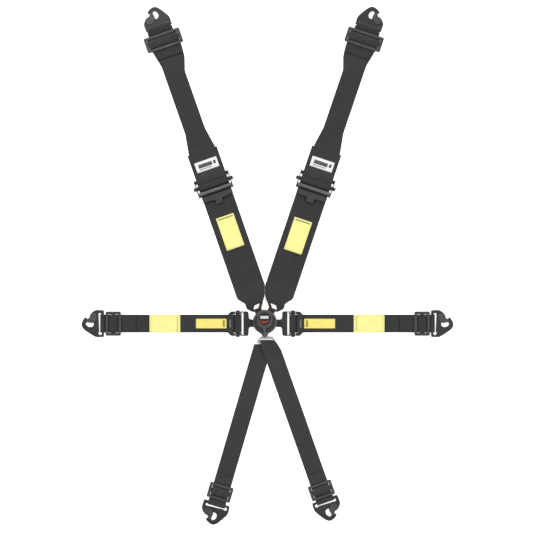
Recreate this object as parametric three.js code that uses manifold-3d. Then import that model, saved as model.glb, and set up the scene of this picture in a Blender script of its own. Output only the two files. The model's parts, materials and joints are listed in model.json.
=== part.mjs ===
// Six-point racing harness with a rotary cam buckle, laid out flat with the dial up.
// Millimetres. X runs across the lap belts, +Y towards the shoulder belts, +Z up.
// The origin is the buckle's centre, in the plane that the harness lies on.
//
// Every belt is drawn in a frame of its own: x runs outwards along the belt, y across it, z up.

import * as THREE from 'three';
import { mergeVertices } from 'three/addons/utils/BufferGeometryUtils.js';
import Module from 'manifold-3d';

const wasm = await Module();
wasm.setup();

// ---- driving dimensions -------------------------------------------------------------------

const GAP = 0.3;                     // clearance between neighbouring pieces
const PLY = 1.5;                     // webbing thickness
const PITCH = PLY + GAP;             // from one ply's centre to the next one's
const FLOOR_PLY = PLY / 2;           // centre height of a ply that lies on the ground
const TOP_PLY = FLOOR_PLY + PITCH;   // centre height of a ply that lies on another one

const LAP_WIDTH = 44.5;              // 1 3/4 inch webbing
const SHOULDER_WIDTH = 77;           // 3 inch webbing
const FOLDED_WIDTH = 52;             // shoulder webbing folded to 2 inch

const TONGUE = { thickness: 3, bottom: 6.5, shank: 6, inner: 12.5, pin: 17.5, wide: 24 };
const TONGUE_TOP = TONGUE.bottom + TONGUE.thickness;
const EJECT = 3;                     // how far the cam pushes a tongue out
const PIN = { radius: 3.5, bottom: 5.6, top: 16.5, head: 4.6 };

const BUCKLE = { radius: 28.5, basePlate: 2.5, top: 15 };
const DIAL = { radius: 29.8, tip: -38.5, bottom: 15.5, face: 27, rim: 30, rib: 31 };
const DIAL_LABEL = { radius: 15.5, y: 7.5, thickness: 0.9 };

const HOOK = { bar: 7, thickness: 3.5, halfWidth: 33.5, droop: 4.2 };
const HOOK_HOLE = { radius: 4.5, u: 9.5, v: -24 };
const NARROW_HOOK = { slotEdge: 14, slotEnd: 11.5, hole: true };
const WIDE_HOOK = { slotEdge: 9.7, slotEnd: 9.7, hole: false };
const LOOP = { inner: 4.3, height: 5.8 };          // webbing loop round the hook's bar
const SLIDE = { outer: 6, slot: 8, centre: 10, thickness: 3, bottom: 5, side: 0.8 };
const SLIDE_TOP = SLIDE.bottom + SLIDE.thickness;
const SLIDE_HALF = SLIDE.centre / 2 + SLIDE.slot + SLIDE.outer;

const LOCK = { length: 10, thickness: 5, bottom: 4.7, travel: 2.5 };
const LOCK_MIDDLE = LOCK.bottom + LOCK.thickness / 2;
const FLANGE_HEIGHT = 9.6;                         // an adjuster's upright sides
const END_BAR_START = 11.3;                        // adjuster's end bar, from the lock bar's centre
const LABEL_THICKNESS = 0.6;

const BELTS = {
  left_lap: {
    x: 0, y: -5, turn: 180, hand: -1, slide: 378, hook: 401.5, hookPlate: NARROW_HOOK,
    tail: 288, shift: 0,
  },
  right_lap: {
    x: 0, y: -5, turn: 0, hand: 1, slide: 392.5, hook: 415, hookPlate: NARROW_HOOK,
    tail: 299, shift: 3,
  },
  left_shoulder: {
    x: -8.5, y: 0, turn: 109.2, hand: 1, slide: 743, hook: 774.5, hookPlate: WIDE_HOOK,
    label: 237, inner: [[56, 26], [60, 29], [84, 37.6]],
  },
  right_shoulder: {
    x: 10.9, y: 0, turn: 71.4, hand: -1, slide: 743, hook: 772, hookPlate: WIDE_HOOK,
    label: 226, inner: [[56, 27], [60, 31], [80, 37.8]],
  },
  left_crotch: {
    x: -2.3, y: -52.5, turn: 253.7, hand: -1, slide: 389, hook: 416.5, hookPlate: NARROW_HOOK,
  },
  right_crotch: {
    x: 10.9, y: -52.5, turn: 289.5, hand: 1, slide: 391, hook: 414.5, hookPlate: NARROW_HOOK,
  },
};
const SHOULDER_TONGUE_TURN = 31;     // a shoulder tongue's direction from the buckle, from +Y
const LAP_TONGUE_Y = -4;

const FINISH = {
  webbing: { color: 0x3b3b3b, roughness: 0.9, metalness: 0 },
  yellow: { color: 0xfef99d, roughness: 0.8, metalness: 0 },
  white: { color: 0xf2f2f2, roughness: 0.7, metalness: 0 },
  black: { color: 0x3f3f41, roughness: 0.45, metalness: 0.6 },
  dial: { color: 0x4a4a4c, roughness: 0.4, metalness: 0.2 },
  tongue: { color: 0x4a2f2c, roughness: 0.45, metalness: 0.6 },
  steel: { color: 0xb9b7b4, roughness: 0.3, metalness: 1 },
};

const harness = new THREE.Group();

// ---- solids and outlines -------------------------------------------------------------------

function solidOf(geometry) {
  const plain = geometry.clone();
  plain.deleteAttribute('normal');
  plain.deleteAttribute('uv');
  const merged = mergeVertices(plain, 1e-4);
  const mesh = new wasm.Mesh({
    numProp: 3,
    vertProperties: new Float32Array(merged.attributes.position.array),
    triVerts: new Uint32Array(merged.index.array),
  });
  return new wasm.Manifold(mesh);
}

function geometryOf(solid) {
  const mesh = solid.getMesh();
  const geometry = new THREE.BufferGeometry();
  geometry.setAttribute('position', new THREE.BufferAttribute(mesh.vertProperties, 3));
  geometry.setIndex(new THREE.BufferAttribute(mesh.triVerts, 1));
  geometry.computeVertexNormals();
  return geometry;
}

const joined = (...geometries) => geometryOf(geometries.map(solidOf).reduce((a, b) => a.add(b)));
const cut = (body, ...tools) =>
  geometryOf(tools.map(solidOf).reduce((a, b) => a.subtract(b), solidOf(body)));
const common = (a, b) => geometryOf(solidOf(a).intersect(solidOf(b)));

function piece(name, geometry, finish, parent = harness) {
  const mesh = new THREE.Mesh(geometry, new THREE.MeshStandardMaterial(FINISH[finish]));
  mesh.name = name;
  parent.add(mesh);
  return mesh;
}

const shapeOf = (points) => new THREE.Shape(points.map(([x, y]) => new THREE.Vector2(x, y)));

// A plate between two heights, from an outline in plan.
function plate(shape, bottom, top, curveSegments = 6) {
  const settings = { depth: top - bottom, bevelEnabled: false, curveSegments };
  return new THREE.ExtrudeGeometry(shape, settings).translate(0, 0, bottom);
}

// A closed outline with a corner radius at every point: each point is [x, y, radius].
function rounded(corners, Kind = THREE.Shape) {
  const outline = new Kind();
  const flat = corners.map(([x, y]) => new THREE.Vector2(x, y));
  const points = THREE.ShapeUtils.isClockWise(flat) ? [...corners].reverse() : corners;
  const count = points.length;
  points.forEach(([x, y, radius = 0], i) => {
    const corner = new THREE.Vector2(x, y);
    const before = new THREE.Vector2(...points[(i + count - 1) % count].slice(0, 2));
    const after = new THREE.Vector2(...points[(i + 1) % count].slice(0, 2));
    const way = (other) => {
      const reach = Math.min(radius, 0.48 * other.distanceTo(corner));
      return other.clone().sub(corner).normalize().multiplyScalar(reach).add(corner);
    };
    const start = way(before);
    const end = way(after);
    if (i === 0) outline.moveTo(start.x, start.y);
    else outline.lineTo(start.x, start.y);
    if (radius > 0) outline.quadraticCurveTo(x, y, end.x, end.y);
  });
  outline.closePath();
  return outline;
}

const box = (x0, x1, y0, y1, z0, z1) =>
  new THREE.BoxGeometry(x1 - x0, y1 - y0, z1 - z0)
    .translate((x0 + x1) / 2, (y0 + y1) / 2, (z0 + z1) / 2);

const disc = (radius, bottom, top, sides = 32) =>
  new THREE.CylinderGeometry(radius, radius, top - bottom, sides)
    .rotateX(Math.PI / 2).translate(0, 0, (bottom + top) / 2);

// A bar's or slot's outline with the same radius at its four corners.
function roundBar(x0, x1, half, radius, Kind = THREE.Shape) {
  const corners = [[x0, -half, radius], [x1, -half, radius], [x1, half, radius], [x0, half, radius]];
  return rounded(corners, Kind);
}

// ---- webbing ---------------------------------------------------------------------------------

const UNDER_BAR = TONGUE.bottom - GAP - PLY / 2;   // centre height of a ply under a tongue's bar
const OVER_BAR = TONGUE_TOP + GAP + PLY / 2;       // and of one over it
const middleAtAdjuster = UNDER_BAR - PITCH / 2;
const middleOnFloor = (FLOOR_PLY + TOP_PLY) / 2;

// A line moved sideways by a distance, with mitred corners. Points are [x, z].
function beside(points, distance) {
  return points.map(([x, z], i) => {
    const here = new THREE.Vector2(x, z);
    const back = i > 0 ? here.clone().sub(new THREE.Vector2(...points[i - 1])).normalize() : null;
    const on = i < points.length - 1 ? new THREE.Vector2(...points[i + 1]).sub(here).normalize() : null;
    const first = back ?? on;
    const second = on ?? back;
    const normal = new THREE.Vector2(-first.y - second.y, first.x + second.x).normalize();
    const stretch = normal.dot(new THREE.Vector2(-first.y, first.x));
    return [x + normal.x * distance / stretch, z + normal.y * distance / stretch];
  });
}

// A strip that follows a line in the belt's side view, from one side of the belt to the other.
function strip(points, thickness, side0, side1) {
  const outline = [...beside(points, thickness / 2), ...beside(points, -thickness / 2).reverse()];
  const settings = { depth: side1 - side0, bevelEnabled: false };
  return new THREE.ExtrudeGeometry(shapeOf(outline), settings)
    .rotateX(Math.PI / 2).translate(0, side1, 0);
}

function arc(x, z, radius, from, to, steps) {
  return Array.from({ length: steps + 1 }, (_, i) => {
    const angle = THREE.MathUtils.degToRad(from + (to - from) * i / steps);
    return [x + radius * Math.cos(angle), z + radius * Math.sin(angle)];
  });
}

// The outer end of every belt, from the buckle side: two plies run under, over and under the
// slide's three bars, and the webbing turns round the hook's bar between them. tail is where
// the returned ply ends.
function anchorFold(slide, hook, tail) {
  const under = SLIDE.bottom - GAP - PLY / 2 - PITCH / 2;
  const over = SLIDE_TOP + GAP + PLY / 2 + PITCH / 2;
  const low = SLIDE.centre / 2 + SLIDE.slot - 1;
  const high = SLIDE.centre / 2 + 1;
  const middle = [
    [slide - SLIDE_HALF - 15, middleOnFloor], [slide - SLIDE_HALF - 2, under], [slide - low, under],
    [slide - high, over], [slide + high, over], [slide + low, under],
    [slide + SLIDE_HALF + 1, under],
  ];
  const centre = [hook + HOOK.bar / 2, LOOP.height];
  const radius = LOOP.inner + PLY / 2;
  const top = beside(middle, PITCH / 2);
  const bottom = beside(middle, -PITCH / 2);
  const [px, pz] = top[top.length - 1];
  const away = Math.hypot(px - centre[0], pz - centre[1]);
  const facing = Math.atan2(pz - centre[1], px - centre[0]) * 180 / Math.PI + 360;
  const touch = facing - Math.acos(radius / away) * 180 / Math.PI;
  const turn = arc(centre[0], centre[1], radius, -90, touch, 10);
  return [...bottom, ...turn, ...top.reverse(), [tail, TOP_PLY]];
}

// Two plies that meet in a loop round an adjuster's lock bar. side is +1 where the plies leave
// outwards, -1 where they leave towards the buckle. Points run from the upper ply to the lower.
function lockLoop(bar, side) {
  const radius = LOCK.thickness / 2 + GAP + PLY / 2;
  const reach = LOCK.length / 2 - LOCK.thickness / 2;
  const far = arc(reach, LOCK_MIDDLE, radius, 45, 90, 3);
  const near = arc(-reach - LOCK.travel, LOCK_MIDDLE, radius, 90, 270, 8);
  const [fx, fz] = far[0];
  const down = [fx + fz - UNDER_BAR, UNDER_BAR];
  const lower = [down[0], UNDER_BAR - PITCH];
  return [down, ...far, ...near, lower].map(([x, z]) => [bar + side * x, z]);
}

// ---- belt hardware ----------------------------------------------------------------------------

function slideBuckle(name, belt, halfWidth, webbingWidth, parent) {
  const outline = roundBar(belt.slide - SLIDE_HALF, belt.slide + SLIDE_HALF, halfWidth, 3);
  const slotHalf = webbingWidth / 2 + SLIDE.side;
  const near = SLIDE.centre / 2;
  for (const start of [belt.slide - near - SLIDE.slot, belt.slide + near]) {
    outline.holes.push(roundBar(start, start + SLIDE.slot, slotHalf, 1.5, THREE.Path));
  }
  piece(name, plate(outline, SLIDE.bottom, SLIDE_TOP, 4), 'black', parent);
}

// The snap hook: a flat plate with a slot for the webbing, an open-sided eye and a beak.
// u runs outwards from the plate's inner edge, v across it with the mouth at +v.
function hookOutline({ hand, hookPlate }) {
  const place = ([u, v, radius]) => [u, v * hand, radius];
  const { bar, halfWidth } = HOOK;
  const outline = rounded([
    [0, -halfWidth, 3], [18, -34, 5], [25, -31.5, 4], [40, -22, 4], [51.5, -14, 6], [56.8, -5, 6],
    [54.8, 5, 5], [50, 13, 4], [45.3, 16.4, 1.5], [43.2, 12.5, 2], [41, 7.5, 1], [40, 4.5, 2],
    [45.5, 1.5, 4], [45.5, -3.5, 5], [38.5, -8.6, 6], [29.5, -8.6, 5], [25, -3.5, 4], [26, 4, 2],
    [31, 14, 3], [36.5, 16.5, 2], [36, 21, 5], [30, 28.5, 6], [21, 34.2, 5], [0, halfWidth, 3],
  ].map(place));
  const { slotEdge, slotEnd } = hookPlate;
  const slot = [[bar, -26, 1.5], [slotEnd, -26, 1.5], [slotEdge, 26, 1.5], [bar, 26, 1.5]];
  outline.holes.push(rounded(slot.map(place), THREE.Path));
  return outline;
}

// The spring keeper lies on the plate, turns on a boss and closes the mouth against the beak.
const KEEPER = { u: 22, v: 17, boss: 2.4, thickness: 1.6 };

function keeperGeometry(hand, bottom) {
  const { u, v, boss, thickness } = KEEPER;
  const top = bottom + thickness;
  const arm = rounded([
    [u - 5, v - 5, 3], [27, 1, 3], [44, 3.5, 2], [43.5, 10.5, 2], [36, 14.5, 3], [34.5, 21, 4],
    [28, 27, 4], [u - 4, v + 6, 4],
  ].map(([x, y, radius]) => [x, y * hand, radius]));
  const hole = disc(boss + GAP, bottom - 1, top + 1, 16).translate(u, v * hand, 0);
  return cut(plate(arm, bottom, top, 5), hole);
}

// The hook's group turns on the middle of its bar, and its point droops to the ground. A hook for
// wide webbing has its slot filled by it and no round hole.
function snapHook(name, belt, parent) {
  const group = new THREE.Group();
  group.position.set(belt.hook + HOOK.bar / 2, 0, LOOP.height);
  group.rotation.y = THREE.MathUtils.degToRad(HOOK.droop);
  parent.add(group);
  const face = HOOK.thickness / 2;
  const bossTop = face + GAP + KEEPER.thickness + 0.5;
  const boss = disc(KEEPER.boss, 0, bossTop, 16).translate(KEEPER.u, KEEPER.v * belt.hand, 0);
  const body = joined(plate(hookOutline(belt), -face, face, 4), boss);
  const hole = disc(HOOK_HOLE.radius, -face - 1, face + 1, 20)
    .translate(HOOK_HOLE.u, HOOK_HOLE.v * belt.hand, 0);
  const hook = belt.hookPlate.hole ? cut(body, hole) : body;
  const keeper = keeperGeometry(belt.hand, face + GAP);
  piece(`${name}_hook`, hook.translate(-HOOK.bar / 2, 0, 0), 'black', group);
  piece(`${name}_hook_keeper`, keeper.translate(-HOOK.bar / 2, 0, 0), 'black', group);
}

// A frame for one belt, and the slide and hook at its outer end.
function beltGroup(name, slideHalfWidth, webbingWidth) {
  const belt = BELTS[name];
  const group = new THREE.Group();
  group.position.set(belt.x, belt.y, 0);
  group.rotation.z = THREE.MathUtils.degToRad(belt.turn);
  harness.add(group);
  slideBuckle(`${name}_slide`, belt, slideHalfWidth, webbingWidth, group);
  snapHook(name, belt, group);
  return group;
}

// ---- lap belts -----------------------------------------------------------------------------------

const LAP_FRAME = { neck: 9.3, start: 40.5, window: 53.2, half: 30.5, flange: 2.2, end: 92 };
const LAP_BAR = 67.2;                // the lock bar's centre
const LAP_BAR_WINDOW = { end: 74.3, webbing: 23.2 };
const LIP = { half: 10, length: 5, height: 2.2, back: 3 };

function lapFrame(name, belt, group) {
  const { neck, half, flange } = LAP_FRAME;
  const { shift } = belt;
  const start = LAP_FRAME.start + shift;
  const open = LAP_FRAME.window + shift;
  const end = LAP_FRAME.end + shift;
  const bar = LAP_BAR + shift;
  const side = (LAP_TONGUE_Y - belt.y) * (belt.turn === 0 ? 1 : -1);
  const { inner, wide, bottom } = TONGUE;
  const shank = box(inner, wide + 2, side - TONGUE.shank, side + TONGUE.shank, bottom, TONGUE_TOP);
  const outline = rounded([
    [wide, side - neck, 1], [start - 1, side - neck, 6], [start + 0.5, -half, 4],
    [end - 8, -half, 2], [end, -LAP_WIDTH / 2 - 1, 2], [end, LAP_WIDTH / 2 + 1, 2],
    [end - 8, half, 2], [start + 0.5, half, 4], [start - 1, side + neck, 6], [wide, side + neck, 1],
  ]);
  const windowHalf = half - flange;
  const step = LAP_BAR_WINDOW.end + shift;
  const narrow = LAP_BAR_WINDOW.webbing;
  outline.holes.push(rounded([
    [open, -windowHalf, 1], [step, -windowHalf, 1], [step, -narrow], [bar + END_BAR_START, -narrow],
    [bar + END_BAR_START, narrow], [step, narrow], [step, windowHalf, 1], [open, windowHalf, 1],
  ], THREE.Path));
  const flanges = [-half, windowHalf].map((from) => strip(
    [[open - 4, LOCK_MIDDLE], [bar + END_BAR_START + 4, LOCK_MIDDLE]], FLANGE_HEIGHT,
    from, from + flange,
  ));
  const lipEnd = end - LIP.back;
  const lip = box(lipEnd - LIP.length, lipEnd, -LIP.half, LIP.half, TONGUE_TOP - 0.5,
    TONGUE_TOP + LIP.height);
  const slot = lockSlot(bar, -LOCK.travel, half + 1);
  const hole = belt.turn === 180
    ? disc(PIN.radius + GAP, 0, 20, 24).translate(TONGUE.pin, side, 0)
    : pinSlot(TONGUE.pin, side);
  const body = joined(plate(outline, bottom, TONGUE_TOP, 4), shank, ...flanges);
  piece(`${name}_tongue_frame`, joined(cut(body, slot, hole), lip), 'black', group);
}

// The slots in an adjuster's sides that its lock bar slides in, over its travel.
function lockSlot(bar, travel, half) {
  const reach = LOCK.length / 2 + 0.5;
  const height = LOCK.thickness / 2;
  return box(bar - reach + Math.min(travel, 0), bar + reach + Math.max(travel, 0), -half, half,
    LOCK_MIDDLE - height, LOCK_MIDDLE + height);
}

// The hole round a lock pin, long enough for the tongue to start moving before the pin is out.
function pinSlot(x, y) {
  const reach = PIN.radius + 0.4;
  return plate(roundBar(x - EJECT - reach, x + reach, reach, reach * 0.8), 0, 20, 6).translate(0, y, 0);
}

// A lock bar: a rounded bar under the webbing, a flat bar through the frame's sides, and a head
// at each end outside them. Its cheeks fill the frame beside the webbing.
const LOCK_TENON = { half: 4.4, height: 2, head: 3.2 };
const LOCK_CHEEK = { inner: 10, outer: 6.3, bottom: 4.9, top: 9.6 };

function lockBar(name, bar, group, { endHalf, bodyHalf, head, cheeks }) {
  const tenon = LOCK_TENON;
  const section = roundBar(-LOCK.length / 2, LOCK.length / 2, LOCK.thickness / 2, 2.4);
  const settings = { depth: 2 * bodyHalf, bevelEnabled: false, curveSegments: 4 };
  const body = new THREE.ExtrudeGeometry(section, settings)
    .rotateX(Math.PI / 2).translate(bar, bodyHalf, LOCK_MIDDLE);
  const through = box(bar - tenon.half, bar + tenon.half, -endHalf + 0.2, endHalf - 0.2,
    LOCK_MIDDLE - tenon.height, LOCK_MIDDLE + tenon.height);
  const heads = [-endHalf, endHalf - head].map((from) => box(
    bar - tenon.half, bar + tenon.half, from, from + head,
    LOCK_MIDDLE - tenon.head, LOCK_MIDDLE + tenon.head,
  ));
  const { inner, outer, bottom, top } = LOCK_CHEEK;
  const fills = (cheeks ? [[-bodyHalf, -cheeks], [cheeks, bodyHalf]] : [])
    .map(([from, to]) => box(bar - inner, bar + outer, from, to, bottom, top));
  piece(name, joined(body, through, ...heads, ...fills), 'black', group);
}

function lapBelt(name) {
  const belt = BELTS[name];
  const group = beltGroup(name, 30.3, LAP_WIDTH);
  const { shift, tail, slide, hook } = belt;
  const bar = { endHalf: 33.3, bodyHalf: 27.6, head: 2.3, cheeks: LAP_WIDTH / 2 + 1 };
  lapFrame(name, belt, group);
  lockBar(`${name}_lock_bar`, LAP_BAR + shift, group, bar);

  const middle = [
    [tail, middleOnFloor], [106 + shift, middleOnFloor], [91 + shift, middleAtAdjuster],
    [LAP_BAR + shift + 9.5, middleAtAdjuster],
  ];
  const upper = beside(middle, -PITCH / 2).slice(0, 3);
  const lower = beside(middle, PITCH / 2).slice(1, 3).reverse();
  const line = [
    ...upper, ...lockLoop(LAP_BAR + shift, 1), ...lower,
    ...anchorFold(slide, hook, slide - SLIDE_HALF - 37),
  ];
  piece(`${name}_webbing`, strip(line, PLY, -LAP_WIDTH / 2, LAP_WIDTH / 2), 'webbing', group);

  const [[, level], bend, [, high]] = beside(middle, -(PITCH + PLY + LABEL_THICKNESS) / 2 - GAP);
  const label = [[172 + 1.2 * shift, level], bend, [95 + shift, high - 0.8]];
  piece(`${name}_label`, strip(label, LABEL_THICKNESS, -12, 12), 'yellow', group);
  const band = [[tail - 77, level], [tail, level]];
  const bandHalf = LAP_WIDTH / 2 + 0.5;
  piece(`${name}_pull_band`, strip(band, LABEL_THICKNESS, -bandHalf, bandHalf), 'yellow', group);
}

// ---- shoulder belts --------------------------------------------------------------------------------

const SHOULDER_TONGUE = {
  neckEnd: 38, bar: 47.5, end: 54.5, inside: 20, outside: 24, slotOutside: 19.5,
};
const SHOULDER_BAR = 364;            // the lock bar's centre
const SHOULDER_FRAME = {
  inner: 43.2, plate: 2.2, start: 340, lip: 341.3, end: 386, upperBar: 375.6, upperBarEnd: 384.5,
};
const WEBBING_IN_SLOT = 14.3;
const LIP_STEP = { at: 345.5, low: 8.2, high: 10.6 };
const RELEASE_TAB = { bottom: 6.6, top: 8.1, half: 39 };

// The buckle's centre in a belt's own frame.
function buckleCentreIn(belt) {
  const turn = THREE.MathUtils.degToRad(belt.turn);
  const x = -belt.x * Math.cos(turn) - belt.y * Math.sin(turn);
  const y = belt.x * Math.sin(turn) - belt.y * Math.cos(turn);
  return [x, y];
}

// The tongue points at the buckle, and its slot is wider on the belt's outer side, where the
// webbing bunches.
function shoulderTongue(name, belt, group) {
  const { neckEnd, bar, end, inside, outside, slotOutside } = SHOULDER_TONGUE;
  const [cx, cy] = buckleCentreIn(belt);
  const direction = belt.hand * (SHOULDER_TONGUE_TURN - Math.abs(belt.turn - 90));
  const radial = (geometry) =>
    geometry.rotateZ(THREE.MathUtils.degToRad(direction)).translate(cx, cy, 0);
  const { bottom, shank, inner, wide } = TONGUE;
  const neck = radial(joined(
    box(inner, wide + 1, -shank, shank, bottom, TONGUE_TOP),
    box(wide, neckEnd, -9.3, 9.3, bottom, TONGUE_TOP),
  ));
  const place = ([x, y, radius]) => [x, y * belt.hand, radius];
  const head = rounded([
    [29, -9, 2], [45, -inside, 3], [end, -inside, 3], [end, outside, 3], [41, outside, 4],
    [29, 11, 3],
  ].map(place));
  const opening = rounded([
    [34.5, -3.5, 2], [bar - 4, -10.5, 2], [bar, -inside + 5.3, 1], [bar, slotOutside, 1],
    [42, slotOutside, 3], [34.5, 8.5, 3],
  ].map(place));
  const body = joined(neck, plate(head, bottom, TONGUE_TOP, 4));
  const tongue = cut(body, plate(opening, 0, 20, 4), radial(pinSlot(TONGUE.pin, 0)));
  piece(`${name}_tongue`, tongue, 'tongue', group);
}

// Webbing that turns round a flat bar between two heights, from under it to over it.
function barTurn(edge, under, over) {
  const corner = 0.55;
  return [[edge + corner, under], [edge, under + corner], [edge, over - corner], [edge + corner, over]];
}

function shoulderLowerWebbing(name, belt, group) {
  const { bar, slotOutside } = SHOULDER_TONGUE;
  const edge = bar - GAP - PLY / 2;
  const loop = [
    [134, FLOOR_PLY], [92, FLOOR_PLY], [70, 5], [58, UNDER_BAR],
    ...barTurn(edge, UNDER_BAR, OVER_BAR),
    [62, OVER_BAR], [92, TOP_PLY], [136, TOP_PLY], [150, FLOOR_PLY], [182, FLOOR_PLY],
    [198, TOP_PLY],
  ];
  const middle = [[198, middleOnFloor], [325, middleOnFloor], [340, middleAtAdjuster],
    [SHOULDER_BAR - 9.5, middleAtAdjuster]];
  const upper = beside(middle, PITCH / 2).slice(1, 3);
  const lower = beside(middle, -PITCH / 2).slice(1, 3).reverse();
  const line = [...loop, ...upper, ...lockLoop(SHOULDER_BAR, -1), ...lower, [200, FLOOR_PLY]];
  const full = strip(line, PLY, -SHOULDER_WIDTH / 2, SHOULDER_WIDTH / 2);

  // The gathered end keeps to its own side of the middle line and bunches outwards at the tongue.
  const wide = SHOULDER_WIDTH / 2 + 1;
  const outer = slotOutside - GAP - 0.4;
  const plan = shapeOf([
    [40, -9.5], [45.6, -11.7], [47.4, -13], [48, -WEBBING_IN_SLOT], [56, -WEBBING_IN_SLOT],
    ...belt.inner.map(([x, y]) => [x, -y]),
    [92, -wide], [400, -wide], [400, wide], [82, wide], [69, 36], [56, 25], [54, outer], [40, outer],
  ].map(([x, y]) => [x, y * belt.hand]));
  piece(`${name}_lower_webbing`, common(full, plate(plan, -1, 20)), 'webbing', group);
}

function shoulderUpperWebbing(name, belt, group) {
  const { upperBar, upperBarEnd } = SHOULDER_FRAME;
  const over = SLIDE_TOP + GAP + PLY / 2;
  const under = SLIDE.bottom - GAP - PLY / 2;
  const line = [
    [451, FLOOR_PLY], [400, FLOOR_PLY], [upperBarEnd + 2, under],
    ...barTurn(upperBar - GAP - PLY / 2, under, over),
    [upperBarEnd + 2, over], [400, TOP_PLY], [453, TOP_PLY], [465, FLOOR_PLY],
    ...anchorFold(belt.slide, belt.hook, belt.slide - SLIDE_HALF - 24),
  ];
  const full = strip(line, PLY, -SHOULDER_WIDTH / 2, SHOULDER_WIDTH / 2);

  // Folded to two inches along most of its run, opened out again at the slide, narrow in the hook.
  const wide = SHOULDER_WIDTH / 2 + 1;
  const folded = FOLDED_WIDTH / 2;
  const sewnEnd = [[370, wide], [452, wide], [454, 35.5], [504, folded]];
  const slideEnd = belt.slide + SLIDE_HALF;
  const hookEnd = [
    [slideEnd - 5, wide], [slideEnd + 1, 32], [belt.hook - 1.5, 32], [belt.hook + 0.5, 25.4],
    [belt.hook + 20, 25.4],
  ];
  const outer = [...sewnEnd, [683, folded + 1], [708, 32.5], [722, 35], [728, wide], ...hookEnd];
  const inner = [...sewnEnd, [655, folded], [688, 36.8], [708, wide], ...hookEnd];
  const plan = shapeOf([...outer, ...inner.map(([x, y]) => [x, -y]).reverse()]
    .map(([x, y]) => [x, y * belt.hand]));
  piece(`${name}_upper_webbing`, common(full, plate(plan, -1, 20)), 'webbing', group);
}

function shoulderAdjuster(name, group) {
  const { inner, plate: thickness, start, lip: lipStart, end, upperBar, upperBarEnd } = SHOULDER_FRAME;
  const outer = inner + thickness;
  const lipEnd = SHOULDER_BAR - END_BAR_START;
  const lip = joined(
    box(lipStart, lipEnd, -outer, outer, TONGUE.bottom, LIP_STEP.low),
    box(LIP_STEP.at, lipEnd, -outer, outer, TONGUE.bottom, LIP_STEP.high),
  );
  const upper = box(upperBar, upperBarEnd, -outer, outer, SLIDE.bottom, SLIDE_TOP);
  const walls = [-outer, inner].map((side) =>
    strip([[start, LOCK_MIDDLE], [end, LOCK_MIDDLE]], FLANGE_HEIGHT, side, side + thickness));
  const slot = lockSlot(SHOULDER_BAR, LOCK.travel, outer + 1);
  const frame = joined(cut(joined(...walls), slot), lip, upper);
  piece(`${name}_adjuster_frame`, frame, 'steel', group);
  const bar = { endHalf: 51.5, bodyHalf: 42.5, head: 5.5 };
  lockBar(`${name}_lock_bar`, SHOULDER_BAR, group, bar);

  const { bottom, top, half } = RELEASE_TAB;
  const tab = rounded([
    [327, -half, 2], [start - 0.8, -half, 0.5], [start - 0.8, half, 0.5], [327, half, 2],
    [325, 9, 3], [314, 8.5, 3], [314, -8.5, 3], [325, -9, 3],
  ]);
  piece(`${name}_release_tab`, plate(tab, bottom, top, 4), 'black', group);
}

function shoulderBelt(name) {
  const belt = BELTS[name];
  const group = beltGroup(name, 46.8, SHOULDER_WIDTH);
  shoulderTongue(name, belt, group);
  shoulderLowerWebbing(name, belt, group);
  shoulderAdjuster(name, group);
  shoulderUpperWebbing(name, belt, group);
  const top = TOP_PLY + (PLY + LABEL_THICKNESS) / 2 + GAP;
  const yellow = [[belt.label - 42.5, top], [belt.label + 42.5, top]];
  piece(`${name}_yellow_label`, strip(yellow, LABEL_THICKNESS, -23, 23), 'yellow', group);
  const white = [[401.5, top], [427.5, top]];
  piece(`${name}_white_label`, strip(white, LABEL_THICKNESS, -29, 29), 'white', group);
}

// ---- crotch belts ------------------------------------------------------------------------------------

const RING = {
  neck: 8, top: -37, opening: -43.5, bar: -47.3, barEnd: -54.3, left: -12.5, right: 19.5, rail: 6.5,
};

function crotchTongue() {
  const { neck, top, opening, bar, barEnd, left, right, rail } = RING;
  const { bottom, shank, inner, wide } = TONGUE;
  const shankBox = box(-shank, shank, -wide - 2, -inner, bottom, TONGUE_TOP);
  const neckBox = box(-neck, neck, top - 3, -wide, bottom, TONGUE_TOP);
  const ring = rounded([
    [left + 2, top, 6], [left - rail, top - 9, 8], [left - rail, barEnd - 1, 4],
    [right + rail, barEnd - 1, 4], [right + rail, top - 9, 8], [right, top, 6],
  ]);
  const slot = rounded([
    [left, bar, 1], [right, bar, 1], [right, opening, 2], [left, opening, 2],
  ]);
  const pin = pinSlot(TONGUE.pin, 0).rotateZ(-Math.PI / 2);
  const body = joined(shankBox, neckBox, plate(ring, bottom, TONGUE_TOP, 5));
  piece('crotch_tongue_ring', cut(body, plate(slot, 0, 20, 4), pin), 'steel');
}

// The right leg turns round the ring's bar; the left leg is sewn under the turned-back end. The
// trim, in the harness's own frame, gathers the leg into the ring.
function rightCrotchBelt() {
  const name = 'right_crotch';
  const belt = BELTS[name];
  const group = beltGroup(name, 30.3, LAP_WIDTH);
  const { bar, left, right } = RING;
  const sides = [left + 0.5, right - 0.5];
  const edge = -bar - GAP - PLY / 2;
  const turn = strip([[63, UNDER_BAR], ...barTurn(edge, UNDER_BAR, OVER_BAR), [61, OVER_BAR]],
    PLY, ...sides);
  const inBelt = turn.rotateZ(-Math.PI / 2).applyMatrix4(beltMatrix(belt).invert());

  const line = [
    [-6, OVER_BAR], [9, OVER_BAR], [40, TOP_PLY], [72, TOP_PLY], [86, FLOOR_PLY],
    ...anchorFold(belt.slide, belt.hook, belt.slide - SLIDE_HALF - 26),
  ];
  const leg = strip(line, PLY, -LAP_WIDTH / 2, LAP_WIDTH / 2);
  const trim = plate(shapeOf([
    [sides[0], bar - 0.5], [24, bar - 0.5], [29, -52], [34, -62], [500, -62],
    [500, -700], [-500, -700], [-500, -66], [sides[0], -66],
  ]), -1, 30).applyMatrix4(beltMatrix(belt).invert());
  piece(`${name}_webbing`, joined(common(leg, trim), inBelt), 'webbing', group);
}

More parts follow.
